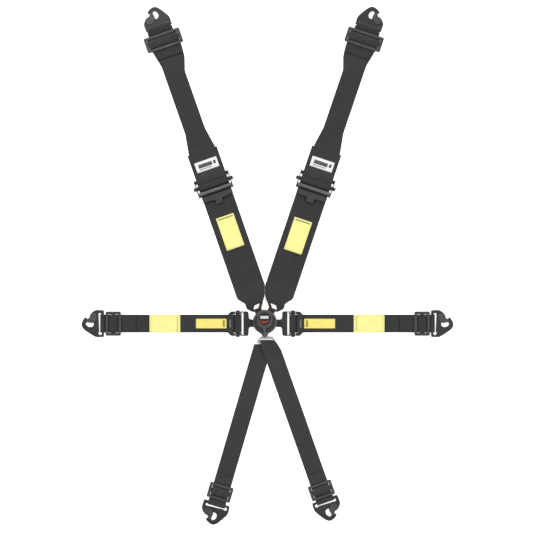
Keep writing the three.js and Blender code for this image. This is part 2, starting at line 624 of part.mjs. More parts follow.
function leftCrotchBelt() {
  const name = 'left_crotch';
  const belt = BELTS[name];
  const group = beltGroup(name, 30.3, LAP_WIDTH);
  const sewn = UNDER_BAR - PITCH;
  const line = [
    [-8, sewn], [10, sewn], [40, FLOOR_PLY],
    ...anchorFold(belt.slide, belt.hook, belt.slide - SLIDE_HALF - 26),
  ];
  const leg = strip(line, PLY, -LAP_WIDTH / 2, LAP_WIDTH / 2);
  const trim = plate(shapeOf([[-500, -52], [500, -52], [500, -700], [-500, -700]]), -1, 30);
  piece(`${name}_webbing`, common(leg, trim.applyMatrix4(beltMatrix(belt).invert())), 'webbing', group);
}

function beltMatrix(belt) {
  const turn = new THREE.Matrix4().makeRotationZ(THREE.MathUtils.degToRad(belt.turn));
  return new THREE.Matrix4().makeTranslation(belt.x, belt.y, 0).multiply(turn);
}

// ---- cam buckle ----------------------------------------------------------------------------------------

const BORE = PIN.radius + GAP;
const SPINDLE = { radius: 4, head: 6, headHeight: 1.2, bottom: BUCKLE.basePlate + GAP, top: 26.7 };

// Where each tongue lies: its direction from the buckle in degrees from +X, and its shift in Y.
const TONGUE_WAYS = {
  right_lap: { turn: 0, y: LAP_TONGUE_Y },
  right_shoulder: { turn: 90 - SHOULDER_TONGUE_TURN, y: 0 },
  left_shoulder: { turn: 90 + SHOULDER_TONGUE_TURN, y: 0 },
  left_lap: { turn: 180, y: LAP_TONGUE_Y },
  crotch: { turn: 270, y: 0 },
};

const towards = (way, geometry) =>
  geometry.rotateZ(THREE.MathUtils.degToRad(way.turn)).translate(0, way.y, 0);

function channel(way) {
  const low = TONGUE.bottom - GAP;
  const high = TONGUE_TOP + GAP;
  const side = TONGUE.shank + GAP;
  const mouth = 9.3 + GAP;
  return towards(way, joined(
    box(TONGUE.inner - GAP, TONGUE.wide + 1, -side, side, low, high),
    box(TONGUE.wide - GAP, 40, -mouth, mouth, low, high),
  ));
}

function buckleBody() {
  const ways = Object.values(TONGUE_WAYS);
  const bores = ways.map((way) =>
    towards(way, disc(BORE, PIN.bottom - GAP, 20, 16).translate(TONGUE.pin, 0, 0)));
  const centre = disc(SPINDLE.radius + GAP, -1, 20, 24);
  const block = disc(BUCKLE.radius, BUCKLE.basePlate + GAP, BUCKLE.top, 36);
  const recess = disc(SPINDLE.head + GAP, 0, SPINDLE.bottom + SPINDLE.headHeight + GAP, 24);
  piece('buckle_housing', cut(block, centre, recess, ...bores, ...ways.map(channel)), 'black');
  piece('buckle_base_plate', disc(BUCKLE.radius - 0.5, 0, BUCKLE.basePlate, 36), 'black');

  const head = disc(SPINDLE.head, SPINDLE.bottom, SPINDLE.bottom + SPINDLE.headHeight, 24);
  piece('buckle_spindle', joined(disc(SPINDLE.radius, SPINDLE.bottom, SPINDLE.top, 24), head), 'steel');
}

function lockPins() {
  for (const [name, way] of Object.entries(TONGUE_WAYS)) {
    const fixed = name === 'left_lap';
    const shaft = disc(PIN.radius, PIN.bottom, PIN.top - 1, 16);
    const head = disc(PIN.head, PIN.top - 1.2, PIN.top, 16);
    const body = joined(shaft, head).translate(TONGUE.pin, 0, 0);
    const called = fixed ? 'left_lap_fixed_rivet' : `${name}_lock_pin`;
    piece(called, towards(way, body), 'steel');
  }
}

class Coil extends THREE.Curve {
  constructor(radius, bottom, height, turns) {
    super();
    Object.assign(this, { radius, bottom, height, turns });
  }

  getPoint(t, target = new THREE.Vector3()) {
    const angle = 2 * Math.PI * this.turns * t;
    const height = this.bottom + this.height * t;
    return target.set(this.radius * Math.cos(angle), this.radius * Math.sin(angle), height);
  }
}

function returnSpring() {
  const wire = new THREE.Shape().absarc(0, 0, 0.7, 0, 2 * Math.PI);
  const coil = new Coil(6.6, 16.5, 4, 3);
  const settings = { extrudePath: coil, steps: 42, curveSegments: 3, bevelEnabled: false };
  piece('buckle_return_spring', new THREE.ExtrudeGeometry(wire, settings), 'steel');
}

function dialOutline() {
  const { radius, tip } = DIAL;
  const shoulder = [-6, -31.8];
  const reach = Math.hypot(...shoulder);
  const tangent = Math.atan2(shoulder[1], shoulder[0]) - Math.acos(radius / reach);
  const outline = new THREE.Shape();
  outline.absarc(0, 0, radius, Math.PI - tangent, tangent, false);
  outline.lineTo(...shoulder);
  outline.lineTo(-3.4, -34.5);
  outline.lineTo(-3.2, tip + 1.5);
  outline.quadraticCurveTo(0, tip - 1.2, 3.2, tip + 1.5);
  outline.lineTo(3.4, -34.5);
  outline.lineTo(-shoulder[0], shoulder[1]);
  outline.closePath();
  return outline;
}

function camDial() {
  const { bottom, face, rim, rib, tip } = DIAL;
  const label = DIAL_LABEL;
  const root = face - 0.6;
  const outline = dialOutline();
  const bore = disc(SPINDLE.radius + GAP, 0, 40, 16);
  const shell = cut(plate(outline, bottom, face, 36), disc(25, 0, face - 2, 32), bore);
  const edge = cut(plate(outline, root, rim, 36), disc(25.5, 0, 40, 48));
  const collar = disc(label.radius + 4, root, rim - 0.7, 48).translate(0, label.y, 0);
  const stem = box(-3.2, 3.2, tip + 3, -10, root, rib);
  const arms = [37, 143].map((angle) => box(0, 20, -2.8, 2.8, root, rim - 0.35)
    .rotateZ(THREE.MathUtils.degToRad(angle)).translate(0, -16, 0));
  const recess = disc(label.radius + GAP, 0, 40, 40).translate(0, label.y, 0);
  piece('cam_dial', joined(shell, cut(joined(edge, collar, stem, ...arms), recess)), 'dial');

  const back = face + GAP;
  const printed = disc(label.radius, back, back + label.thickness, 40).translate(0, label.y, 0);
  piece('cam_dial_label', printed, 'dial');
}

function camRing() {
  const top = DIAL.face - 2 - GAP;
  const ring = cut(disc(23, top - 2.2, top, 40), disc(10, 0, 40, 32));
  piece('cam_lifting_ring', ring, 'steel');
}

// ---- the harness ----------------------------------------------------------------------------------------

buckleBody();
lockPins();
returnSpring();
camDial();
camRing();
lapBelt('left_lap');
lapBelt('right_lap');
shoulderBelt('left_shoulder');
shoulderBelt('right_shoulder');
crotchTongue();
rightCrotchBelt();
leftCrotchBelt();

export default harness;
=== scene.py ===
"""The look of a six-point racing harness that lies flat with its cam buckle facing up.

Shapes are written in millimetres. Every belt has a frame of its own: s runs outwards along the
belt, v across it and z up, as in the CAD model.
"""

import json
import math

import bmesh
import bpy
from mathutils import Matrix, Vector, noise

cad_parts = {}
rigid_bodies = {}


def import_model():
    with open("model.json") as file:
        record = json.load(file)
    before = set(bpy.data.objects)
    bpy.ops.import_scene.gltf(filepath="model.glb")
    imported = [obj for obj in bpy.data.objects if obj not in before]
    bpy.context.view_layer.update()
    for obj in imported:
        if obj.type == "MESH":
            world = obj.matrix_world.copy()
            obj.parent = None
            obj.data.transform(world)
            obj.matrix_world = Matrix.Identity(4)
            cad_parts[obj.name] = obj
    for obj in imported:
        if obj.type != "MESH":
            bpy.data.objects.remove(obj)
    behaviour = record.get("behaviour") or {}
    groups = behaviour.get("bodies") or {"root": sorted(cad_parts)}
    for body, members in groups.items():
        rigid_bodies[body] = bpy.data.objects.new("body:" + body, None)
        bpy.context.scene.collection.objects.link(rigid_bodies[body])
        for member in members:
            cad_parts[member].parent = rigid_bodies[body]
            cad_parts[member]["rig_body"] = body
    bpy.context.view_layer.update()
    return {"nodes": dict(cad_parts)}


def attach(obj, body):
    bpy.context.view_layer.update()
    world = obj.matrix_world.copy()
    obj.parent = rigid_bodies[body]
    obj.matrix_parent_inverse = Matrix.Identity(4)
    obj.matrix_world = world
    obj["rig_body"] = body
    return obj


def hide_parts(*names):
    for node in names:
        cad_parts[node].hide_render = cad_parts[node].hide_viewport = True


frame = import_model()

MM = 0.001
GAP = 0.3
PLY = 1.5                      # webbing thickness
PITCH = PLY + GAP              # from one ply's centre to the next one's
FLOOR_PLY = PLY / 2            # centre height of a ply on the ground
TOP_PLY = FLOOR_PLY + PITCH    # centre height of a ply on another one
MID_PLY = (FLOOR_PLY + TOP_PLY) / 2
ON_TOP_PLY = TOP_PLY + PLY / 2
TAPE = 0.6                     # thickness of the labels and pull bands
ON_CLOTH = 0.05                # how far a thread's middle stands off the cloth
PRESSED = 0.55                 # how much nearer two pressed turns of webbing come to each other
TWIST = 0.8                    # length of sewing thread in one turn of its twist

LAP_HALF = 22.25
SHOULDER_HALF = 38.5
FOLDED_HALF = 26

TONGUE_BOTTOM, TONGUE_TOP = 6.5, 9.5
UNDER_BAR = TONGUE_BOTTOM - GAP - PLY / 2      # a ply's centre under a tongue's bar
OVER_BAR = TONGUE_TOP + GAP + PLY / 2          # and over it
AT_ADJUSTER = UNDER_BAR - PITCH / 2            # the middle of two plies under an adjuster
SLIDE_BOTTOM, SLIDE_TOP = 5, 8
SLIDE_BAR, SLIDE_SLOT, SLIDE_HALF = 5, 8, 19   # half the centre bar, a slot, half the slide
HOOK_BAR, LOOP_RADIUS, LOOP_HEIGHT = 3.5, 5.05, 5.8
LOCK_HALF, LOCK_ROUND, LOCK_HEIGHT, LOCK_TRAVEL = 5, 2.5, 7.2, 2.5
LAP_BAR, SHOULDER_BAR = 67.2, 364
TONGUE_BAR = 47.5
CORNER = 0.55                  # the bevel of a tight turn round a bar
LOOP_RUN = 92                  # webbing from the shoulder loop's inner end to over the tongue's bar
UPPER_BAR, UPPER_BAR_END = 375.6, 384.5
RING_BAR = -47.3               # the edge of the crotch ring's bar, along Y
CROTCH_TAIL = 26               # doubled webbing between a crotch belt's tail and its slide

BELTS = {
    "left_lap": dict(x=0, y=-5, turn=180, hand=-1, slide=378, hook=401.5, tail=288, shift=0),
    "right_lap": dict(x=0, y=-5, turn=0, hand=1, slide=392.5, hook=415, tail=299, shift=3),
    "left_shoulder": dict(x=-8.5, y=0, turn=109.2, hand=1, slide=743, hook=774.5, label=237),
    "right_shoulder": dict(x=10.9, y=0, turn=71.4, hand=-1, slide=743, hook=772, label=226),
    "left_crotch": dict(x=-2.3, y=-52.5, turn=253.7, hand=-1, slide=389, hook=416.5),
    "right_crotch": dict(x=10.9, y=-52.5, turn=289.5, hand=1, slide=391, hook=414.5),
}
BODY = {
    "left_lap": "buckle", "right_lap": "right_lap_belt",
    "left_shoulder": "left_shoulder_belt", "right_shoulder": "right_shoulder_belt",
    "left_crotch": "crotch_belts", "right_crotch": "crotch_belts",
}


def belt_matrix(name):
    belt = BELTS[name]
    place = Matrix.Translation((belt["x"] * MM, belt["y"] * MM, 0))
    return place @ Matrix.Rotation(math.radians(belt["turn"]), 4, "Z")


# ---- materials --------------------------------------------------------------------------------

class Graph:
    """A node material with short calls for the nodes it needs. Its lengths are in metres."""

    def __init__(self, name, roughness=0.5, metallic=0.0, **sockets):
        self.material = bpy.data.materials.new(name)
        self.material.use_nodes = True
        self.tree = self.material.node_tree
        self.tree.nodes.clear()
        out = self.tree.nodes.new("ShaderNodeOutputMaterial")
        self.shader = self.tree.nodes.new("ShaderNodeBsdfPrincipled")
        self.tree.links.new(self.shader.outputs[0], out.inputs["Surface"])
        self.shader.inputs["Roughness"].default_value = roughness
        self.shader.inputs["Metallic"].default_value = metallic
        for socket, value in sockets.items():
            self.shader.inputs[socket.replace("_", " ")].default_value = value

    def node(self, kind, inputs=(), **settings):
        made = self.tree.nodes.new(kind)
        for key, value in settings.items():
            setattr(made, key, value)
        for key, value in dict(inputs).items():
            self.put(made.inputs[key], value)
        return made

    def put(self, socket, value):
        if isinstance(value, bpy.types.NodeSocket):
            self.tree.links.new(value, socket)
        else:
            socket.default_value = value

    def math(self, operation, *values):
        made = self.node("ShaderNodeMath", operation=operation)
        for i, value in enumerate(values):
            self.put(made.inputs[i], value)
        return made.outputs[0]

    def ramp(self, value, low, high, to_low=0.0, to_high=1.0):
        """A smooth step from one value to another."""
        made = self.node("ShaderNodeMapRange", {"Value": value, "From Min": low, "From Max": high,
                                                "To Min": to_low, "To Max": to_high})
        made.interpolation_type = "SMOOTHSTEP"
        return made.outputs[0]

    def mix(self, factor, a, b):
        made = self.node("ShaderNodeMix", data_type="RGBA")
        for i, value in ((0, factor), (6, a), (7, b)):
            self.put(made.inputs[i], value)
        return made.outputs[2]

    def wave(self, value, period, low=0.0, high=1.0):
        """A sine with this period, in metres, between low and high."""
        angle = self.math("MULTIPLY", value, 2 * math.pi / period)
        half = self.math("MULTIPLY", self.math("SINE", angle), (high - low) / 2)
        return self.math("ADD", half, (high + low) / 2)

    def noise(self, scale, detail=3.0, roughness=0.55, vector=None, stretch=None):
        vector = vector or self.node("ShaderNodeTexCoord").outputs["Object"]
        if stretch:
            mapping = self.node("ShaderNodeMapping", {"Vector": vector})
            mapping.inputs["Scale"].default_value = stretch
            vector = mapping.outputs[0]
        return self.node("ShaderNodeTexNoise", {"Vector": vector, "Scale": scale, "Detail": detail,
                                                "Roughness": roughness}).outputs["Fac"]

    def bump(self, height, distance, strength):
        inputs = {"Height": height, "Distance": distance, "Strength": strength}
        return self.node("ShaderNodeBump", inputs).outputs[0]

    def painted_crevice_shade(self, colour, reach, depth):
        """Painted shade: darkens a colour in folds and where another piece lies close over it."""
        open_sky = self.node("ShaderNodeAmbientOcclusion", {"Distance": reach}, samples=6)
        shade = self.ramp(open_sky.outputs["AO"], 0.35, 0.92, depth, 1.0)
        return self.mix(shade, (0.002, 0.002, 0.002, 1), colour)

    def set(self, **sockets):
        for socket, value in sockets.items():
            self.put(self.shader.inputs[socket.replace("_", " ")], value)

    def weave(self):
        """Metres along the cloth, across it and to its nearest edge, and the three as a vector."""
        found = self.node("ShaderNodeAttribute", attribute_name="weave")
        parts = self.node("ShaderNodeSeparateXYZ", {"Vector": found.outputs["Vector"]})
        return parts.outputs[0], parts.outputs[1], parts.outputs[2], found.outputs["Vector"]


def grey(value, warm=0.0):
    """A grey, slightly warm above zero and slightly cool below it."""
    return (value * (1 + warm), value, value * (1 - warm), 1)


def webbing_material(name, base, cool=0.0):
    """Herringbone polyester webbing: slanting ribs in columns, with a tight selvedge."""
    column, twill_rib, yarn_rib, selvedge_rib = 0.0046, 0.0021, 0.00115, 0.0012
    selvedge = 0.0021
    g = Graph(name, roughness=0.85, Specular_IOR_Level=0.25, Sheen_Weight=0.12, Sheen_Roughness=0.5)
    along, across, edge, where = g.weave()
    slant = g.math("PINGPONG", across, column)
    twill = g.wave(g.math("ADD", along, slant), twill_rib)
    yarn = g.wave(across, yarn_rib)
    fibre = g.noise(900, detail=2, vector=where, stretch=(1.0, 3.0, 1.0))
    field = g.math("ADD", g.math("MULTIPLY", twill, 0.6), g.math("MULTIPLY", yarn, 0.25))
    rib = g.wave(along, selvedge_rib, 0.25, 0.75)
    inside = g.ramp(edge, 0.0012, 0.0019)
    from_groove = g.math("ABSOLUTE", g.math("SUBTRACT", edge, selvedge))
    groove = g.math("SUBTRACT", 1.0, g.ramp(from_groove, 0.0001, 0.0006))
    weave = g.math("ADD", g.math("MULTIPLY", field, inside),
                   g.math("MULTIPLY", rib, g.math("SUBTRACT", 1.0, inside)))
    height = g.math("ADD", weave, g.math("MULTIPLY", fibre, 0.35))
    height = g.math("SUBTRACT", height, g.math("MULTIPLY", groove, 0.35))
    patches = g.noise(22, detail=4, vector=where)
    lint = g.ramp(g.noise(420, detail=1, vector=where), 0.70, 0.82)
    patchy_mask = g.ramp(g.noise(260, vector=where), 0.4, 0.65)
    worn = g.math("MULTIPLY", g.ramp(edge, 0.0011, 0.0), patchy_mask)
    # Painted shade and highlight: the weave's low parts, its selvedge groove among them, take a darker
    # grey and its ribs a lighter one.
    dark, light = grey(base * 0.62, -cool), grey(base * 1.38, -cool)
    colour = g.mix(g.ramp(height, 0.1, 1.05), dark, light)
    colour = g.mix(g.ramp(patches, 0.3, 0.7, 0.0, 0.32), colour, grey(base * 1.5, -cool))
    colour = g.mix(g.math("MULTIPLY", lint, 0.25), colour, grey(base * 3.2))
    colour = g.mix(g.math("MULTIPLY", worn, 0.35), colour, grey(base * 2.6))
    # painted shade in folds and under overlapping plies
    colour = g.painted_crevice_shade(colour, 0.012, 0.10)
    g.set(Base_Color=colour, Roughness=g.ramp(height, 0.0, 1.2, 0.95, 0.72),
          Normal=g.bump(height, 0.00045, 0.8))
    return g.material


def tape_material(name, colour, shade, soil):
    """A fine plain-woven label or tape with a faint grid and slight soiling."""
    g = Graph(name, roughness=0.7, Specular_IOR_Level=0.3, Sheen_Weight=0.08)
    along, across, edge, where = g.weave()
    warp = g.wave(along, 0.0009)
    weft = g.wave(across, 0.0007)
    grid = g.math("MULTIPLY", g.math("ADD", warp, weft), 0.5)
    fibre = g.noise(1500, detail=1, vector=where, stretch=(0.5, 2.0, 1.0))
    height = g.math("ADD", grid, g.math("MULTIPLY", fibre, 0.3))
    # Painted shade: the low parts of the grid take the shade colour.
    tint = g.mix(g.ramp(height, 0.15, 1.0), shade, colour)
    tint = g.mix(g.ramp(g.noise(45, detail=4, vector=where), 0.45, 0.8, 0.0, 0.25), tint, soil)
    tint = g.mix(g.ramp(edge, 0.0009, 0.0, 0.0, 0.35), tint, soil)
    g.set(Base_Color=tint, Roughness=g.ramp(height, 0.1, 1.1, 0.85, 0.6),
          Normal=g.bump(height, 0.0002, 0.6))
    return g.material


def thread_material(name, colour, shade):
    """Twisted sewing thread."""
    g = Graph(name, roughness=0.6, Sheen_Weight=0.1)
    along, around, _, where = g.weave()
    twist = g.wave(g.math("ADD", along, around), TWIST * MM)
    # Painted shade: the grooves of the twist take the shade colour.
    g.set(Base_Color=g.mix(twist, shade, colour), Normal=g.bump(twist, 0.0001, 0.6),
          Roughness=g.ramp(g.noise(700, vector=where), 0.3, 0.7, 0.5, 0.75))
    return g.material


def steel_material(name, colour, worn, roughness, metallic, grain=0.5, edge_wear_and_highlight=0.5, coat=0.0):
    """Coated or bright steel: fine orange peel, scratches, and a lighter worn colour on its rounded edges
    that is partly rubbed wear and partly painted highlight.
    """
    g = Graph(name, metallic=metallic, Coat_Weight=coat, Coat_Roughness=0.25)
    peel = g.noise(1400, detail=2)
    clouds = g.noise(35, detail=5)
    scratches = g.noise(260, detail=6, roughness=0.7, stretch=(1.0, 0.12, 1.0))
    rounded = g.node("ShaderNodeBevel", {"Radius": 0.0012}, samples=4).outputs[0]
    flat = g.node("ShaderNodeNewGeometry").outputs["Normal"]
    facing = g.node("ShaderNodeVectorMath", {0: rounded, 1: flat}, operation="DOT_PRODUCT")
    # Rounded edges, found by the bevel normal, take the worn colour in patches: partly rubbed wear,
    # partly painted highlight.
    worn_and_lit_edge_mask = g.ramp(facing.outputs["Value"], 0.995, 0.93)
    patchy_mask = g.math("MULTIPLY", worn_and_lit_edge_mask, g.ramp(g.noise(180, detail=4), 0.34, 0.62))
    tint = g.mix(g.ramp(clouds, 0.3, 0.7, 0.0, 0.35), colour, [c * 1.35 for c in colour[:3]] + [1])
    tint = g.mix(g.ramp(scratches, 0.60, 0.74, 0.0, 0.3), tint, worn)
    tint = g.mix(g.math("MULTIPLY", patchy_mask, edge_wear_and_highlight), tint, worn)
    # painted shade in corners and where another piece lies close
    tint = g.painted_crevice_shade(tint, 0.010, 0.15)
    rough = g.math("ADD", g.ramp(clouds, 0.25, 0.75, roughness - 0.07, roughness + 0.1),
                   g.ramp(peel, 0.3, 0.7, -0.04, 0.04))
    g.set(Base_Color=tint, Roughness=rough, Normal=g.bump(peel, 0.00006, grain))
    return g.material


def print_material(name, colour, shade):
    """Ink: nearly even, with fine speckle."""
    g = Graph(name, roughness=0.35, Coat_Weight=0.3, Coat_Roughness=0.15)
    speckle = g.noise(900, detail=2)
    g.set(Base_Color=g.mix(g.ramp(speckle, 0.35, 0.7), shade, colour),
          Roughness=g.ramp(g.noise(60, detail=4), 0.3, 0.7, 0.28, 0.42),
          Normal=g.bump(speckle, 0.00004, 0.4))
    return g.material


WEBBING = webbing_material("webbing", 0.031)
CROTCH_WEBBING = webbing_material("crotch_webbing", 0.037, cool=0.05)
# Each tape's second colour is its painted shade in the weave's low parts, and its third its soiling.
YELLOW = tape_material("yellow_tape", (0.98, 0.95, 0.38, 1), (0.92, 0.86, 0.27, 1), (0.80, 0.68, 0.20, 1))
DEEP_YELLOW = tape_material("deep_yellow_tape", (0.98, 0.86, 0.23, 1), (0.92, 0.77, 0.16, 1),
                            (0.78, 0.62, 0.12, 1))
WHITE = tape_material("white_tape", (0.93, 0.93, 0.94, 1), (0.80, 0.80, 0.82, 1), (0.60, 0.60, 0.62, 1))
# Each thread's second colour is its painted shade in the grooves of its twist.
BLACK_THREAD = thread_material("black_thread", grey(0.045), grey(0.012))
YELLOW_THREAD = thread_material("yellow_thread", (0.80, 0.70, 0.20, 1), (0.45, 0.38, 0.08, 1))
WHITE_THREAD = thread_material("white_thread", grey(0.75), grey(0.4))
PRINT = print_material("label_print", grey(0.10), grey(0.05))
PALE_PRINT = print_material("pale_print", grey(0.42), grey(0.3))
# The second colour of each steel shows in its scratches and on its rounded edges, where it is partly wear
# and partly painted highlight.
STEELS = {
    "black_steel": steel_material("black_steel", grey(0.034), grey(0.25), 0.40, 0.35, edge_wear_and_highlight=0.9),
    "keeper_steel": steel_material("keeper_steel", grey(0.085), grey(0.30), 0.36, 0.55, edge_wear_and_highlight=0.8),
    "brown_steel": steel_material("brown_steel", (0.055, 0.026, 0.022, 1), (0.22, 0.15, 0.13, 1),
                                  0.40, 0.4, edge_wear_and_highlight=0.7),
    "bright_steel": steel_material("bright_steel", grey(0.66, 0.02), grey(0.85), 0.30, 1.0, grain=0.12,
                                   edge_wear_and_highlight=0.3),
    "dial": steel_material("dial", grey(0.042, -0.01), grey(0.15), 0.40, 0.25, edge_wear_and_highlight=0.6, coat=0.15),
    "dial_label": print_material("dial_label", grey(0.012), grey(0.007)),
}
# Painted highlight: a lighter coat for the dial's raised collar, arms and stem.
DIAL_PAINTED_HIGHLIGHT = steel_material("dial_painted_highlight", (0.088, 0.084, 0.090, 1), grey(0.22), 0.36, 0.3, edge_wear_and_highlight=0.6,
                             coat=0.15)
# Painted highlight: a lighter grey on the lap tongues' lips and on the upper part of the adjusters'
# stepped bars.
LIP_PAINTED_HIGHLIGHT = steel_material("lip_painted_highlight", grey(0.16), grey(0.4), 0.34, 0.6, edge_wear_and_highlight=0.6)
# Painted shadow: near black on the low step under each shoulder adjuster's lip.
STEP_PAINTED_SHADOW = steel_material("step_painted_shadow", grey(0.010), grey(0.06), 0.45, 0.3, edge_wear_and_highlight=0.4)
SATIN_SLIDE = steel_material("satin_slide", grey(0.066, 0.02), grey(0.26), 0.42, 0.4, edge_wear_and_highlight=0.7)
PRESSED_TAB = steel_material("pressed_tab", grey(0.042, 0.03), grey(0.13), 0.55, 0.3, edge_wear_and_highlight=0.5)


# ---- hardware ---------------------------------------------------------------------------------

def slot_of(node):
    """The record's material slot for a piece of hardware."""
    if node.endswith("_keeper"):
        return "keeper_steel"
    if node.endswith("_shoulder_tongue"):
        return "brown_steel"
    if node == "cam_dial_label":
        return "dial_label"
    if node == "cam_dial":
        return "dial"
    bright = ("ring", "spindle", "rivet", "lock_pin", "adjuster_frame")
    return "bright_steel" if node.endswith(bright) else "black_steel"


DIAL_FACE, DIAL_RIM, DIAL_ARM = 29.05, 24.5, -30       # above, within and beyond: what stands proud
LIP_START, LIP_HALF, LIP_LOW = 80, 10.5, 9.6           # the lip on a lap belt's tongue
WALL, BRIGHT_WALL_END = 43, 361                        # the side walls of a shoulder adjuster
STEP_LOW, STEP_END, LOW_STEP_END = 9.8, 353, 346       # and the stepped bar at its inner end


def everywhere(p, normal):
    return True


def on_raised_dial(p, normal):
    return p.z > DIAL_FACE and (p.xy.length < DIAL_RIM or p.y < DIAL_ARM)


def on_lip(p, normal):
    return p.x > LIP_START and abs(p.y) < LIP_HALF and p.z > LIP_LOW


def on_bars_and_walls(p, normal):
    """All but the faces of the side walls at their inner ends that face up or down, which keep the bright
    steel.
    """
    return abs(p.y) < WALL or p.x > BRIGHT_WALL_END or abs(normal.z) < 0.5


def on_low_step(p, normal):
    return abs(p.y) < WALL and p.z < STEP_LOW and p.x < LOW_STEP_END


def on_step(p, normal):
    return abs(p.y) < WALL and p.z > STEP_LOW and p.x < STEP_END


def zones_of(node):
    """The parts of a piece that look different, some with a painted highlight and one with a painted
    shadow, as (test of a face's centre and normal, material).
    """
    if node == "cam_dial":
        # the raised parts carry a painted highlight
        return [(on_raised_dial, DIAL_PAINTED_HIGHLIGHT)]
    if node.endswith("_release_tab"):
        return [(everywhere, PRESSED_TAB)]
    if node.endswith("_slide"):
        return [(everywhere, SATIN_SLIDE)]
    if node.endswith("_tongue_frame"):
        # the lip carries a painted highlight
        return [(on_lip, LIP_PAINTED_HIGHLIGHT)]
    if node.endswith("_adjuster_frame"):
        # the low step carries a painted shadow and the step above it a painted highlight
        return [(on_bars_and_walls, STEELS["black_steel"]), (on_low_step, STEP_PAINTED_SHADOW),
                (on_step, LIP_PAINTED_HIGHLIGHT)]
    return []


def finished(node, bevel):
    """A copy of a piece of hardware with rounded edges and its finishes, with painted highlights and a
    painted shadow on some zones.
    """
    source = frame["nodes"][node]
    belt = next((name for name in BELTS if node.startswith(name)), None)
    to_frame = belt_matrix(belt).inverted() if belt else Matrix.Identity(4)
    mesh = source.data.copy()
    mesh.name = f"{node}_finish"
    mesh.materials.clear()
    mesh.materials.append(STEELS[slot_of(node)])
    work = bmesh.new()
    work.from_mesh(mesh)
    bmesh.ops.remove_doubles(work, verts=work.verts, dist=2e-6)
    bmesh.ops.dissolve_limit(work, angle_limit=math.radians(1.5), verts=work.verts, edges=work.edges)
    for i, (test, material) in enumerate(zones_of(node)):
        mesh.materials.append(material)
        for face in work.faces:
            if test(to_frame @ face.calc_center_median() / MM, face.normal):
                face.material_index = i + 1
    for face in work.faces:
        face.smooth = True
    work.to_mesh(mesh)
    work.free()
    made = bpy.data.objects.new(f"{node}_finish", mesh)
    bpy.context.scene.collection.objects.link(made)
    rounding = made.modifiers.new("edges", "BEVEL")
    rounding.width = bevel * MM
    rounding.segments = 3
    rounding.limit_method = "ANGLE"
    rounding.angle_limit = math.radians(35)
    rounding.use_clamp_overlap = True
    rounding.harden_normals = True
    even = made.modifiers.new("normals", "WEIGHTED_NORMAL")
    even.keep_sharp = True
    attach(made, source["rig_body"])
    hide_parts(node)


# ---- webbing ----------------------------------------------------------------------------------

def smooth_step(t):
    return t * t * (3 - 2 * t)


def within(value, low=0.0, high=1.0):
    return max(low, min(high, value))


def bar_turn(edge):
    """Webbing that turns round a flat tongue's bar, from under it to over it."""
    rises = (CORNER, 1.7, 2.9, 3.6, 4.1, OVER_BAR - UNDER_BAR - CORNER)
    return [(edge + CORNER, UNDER_BAR), *[(edge, UNDER_BAR + rise) for rise in rises],
            (edge + CORNER, OVER_BAR)]


def beside(points, distance):
    """A line moved sideways, with mitred corners."""
    moved = []
    for i, point in enumerate(points):
        here = Vector(point)
        back = (here - Vector(points[i - 1])).normalized() if i else None
        on = (Vector(points[i + 1]) - here).normalized() if i < len(points) - 1 else None
        first, second = back or on, on or back
        normal = Vector((-first.y - second.y, first.x + second.x)).normalized()
        moved.append(tuple(here + normal * (distance / normal.dot(Vector((-first.y, first.x))))))
    return moved


def arc(x, z, radius, start, end, steps):
    """Points round a centre, from one angle in degrees to another."""
    angles = [math.radians(start + (end - start) * i / steps) for i in range(steps + 1)]
    return [(x + radius * math.cos(a), z + radius * math.sin(a)) for a in angles]


def before_slide(belt, distance):
    """The place this far inwards of the belt's slide."""
    return belt["slide"] - SLIDE_HALF - distance


def anchor_fold(belt, tail):
    """The outer end: two plies weave through the slide and turn round the hook's bar."""
    slide = belt["slide"]
    under = SLIDE_BOTTOM - GAP - PLY / 2 - PITCH / 2
    over = SLIDE_TOP + GAP + PLY / 2 + PITCH / 2
    low, high = SLIDE_BAR + SLIDE_SLOT - 1, SLIDE_BAR + 1
    middle = [
        (before_slide(belt, 15), MID_PLY), (before_slide(belt, 2), under), (slide - low, under),
        (slide - high, over), (slide + high, over), (slide + low, under),
        (slide + SLIDE_HALF + 1, under),
    ]
    cx, cz = belt["hook"] + HOOK_BAR, LOOP_HEIGHT
    top, bottom = beside(middle, PITCH / 2), beside(middle, -PITCH / 2)
    px, pz = top[-1]
    away = math.hypot(px - cx, pz - cz)
    facing = math.degrees(math.atan2(pz - cz, px - cx)) + 360
    touch = facing - math.degrees(math.acos(LOOP_RADIUS / away))
    turn = arc(cx, cz, LOOP_RADIUS, -90, touch, 28)
    return [*bottom, *turn, *top[::-1], (tail, TOP_PLY)]


def lock_loop(bar, side):
    """Two plies that meet in a loop round an adjuster's lock bar."""
    radius = LOCK_ROUND + GAP + PLY / 2
    reach = LOCK_HALF - LOCK_ROUND
    far = arc(reach, LOCK_HEIGHT, radius, 45, 90, 6)
    near = arc(-reach - LOCK_TRAVEL, LOCK_HEIGHT, radius, 90, 270, 20)
    fx, fz = far[0]
    down = (fx + fz - UNDER_BAR, UNDER_BAR)
    line = [down, *far, *near, (down[0], UNDER_BAR - PITCH)]
    return [(bar + side * x, z) for x, z in line]


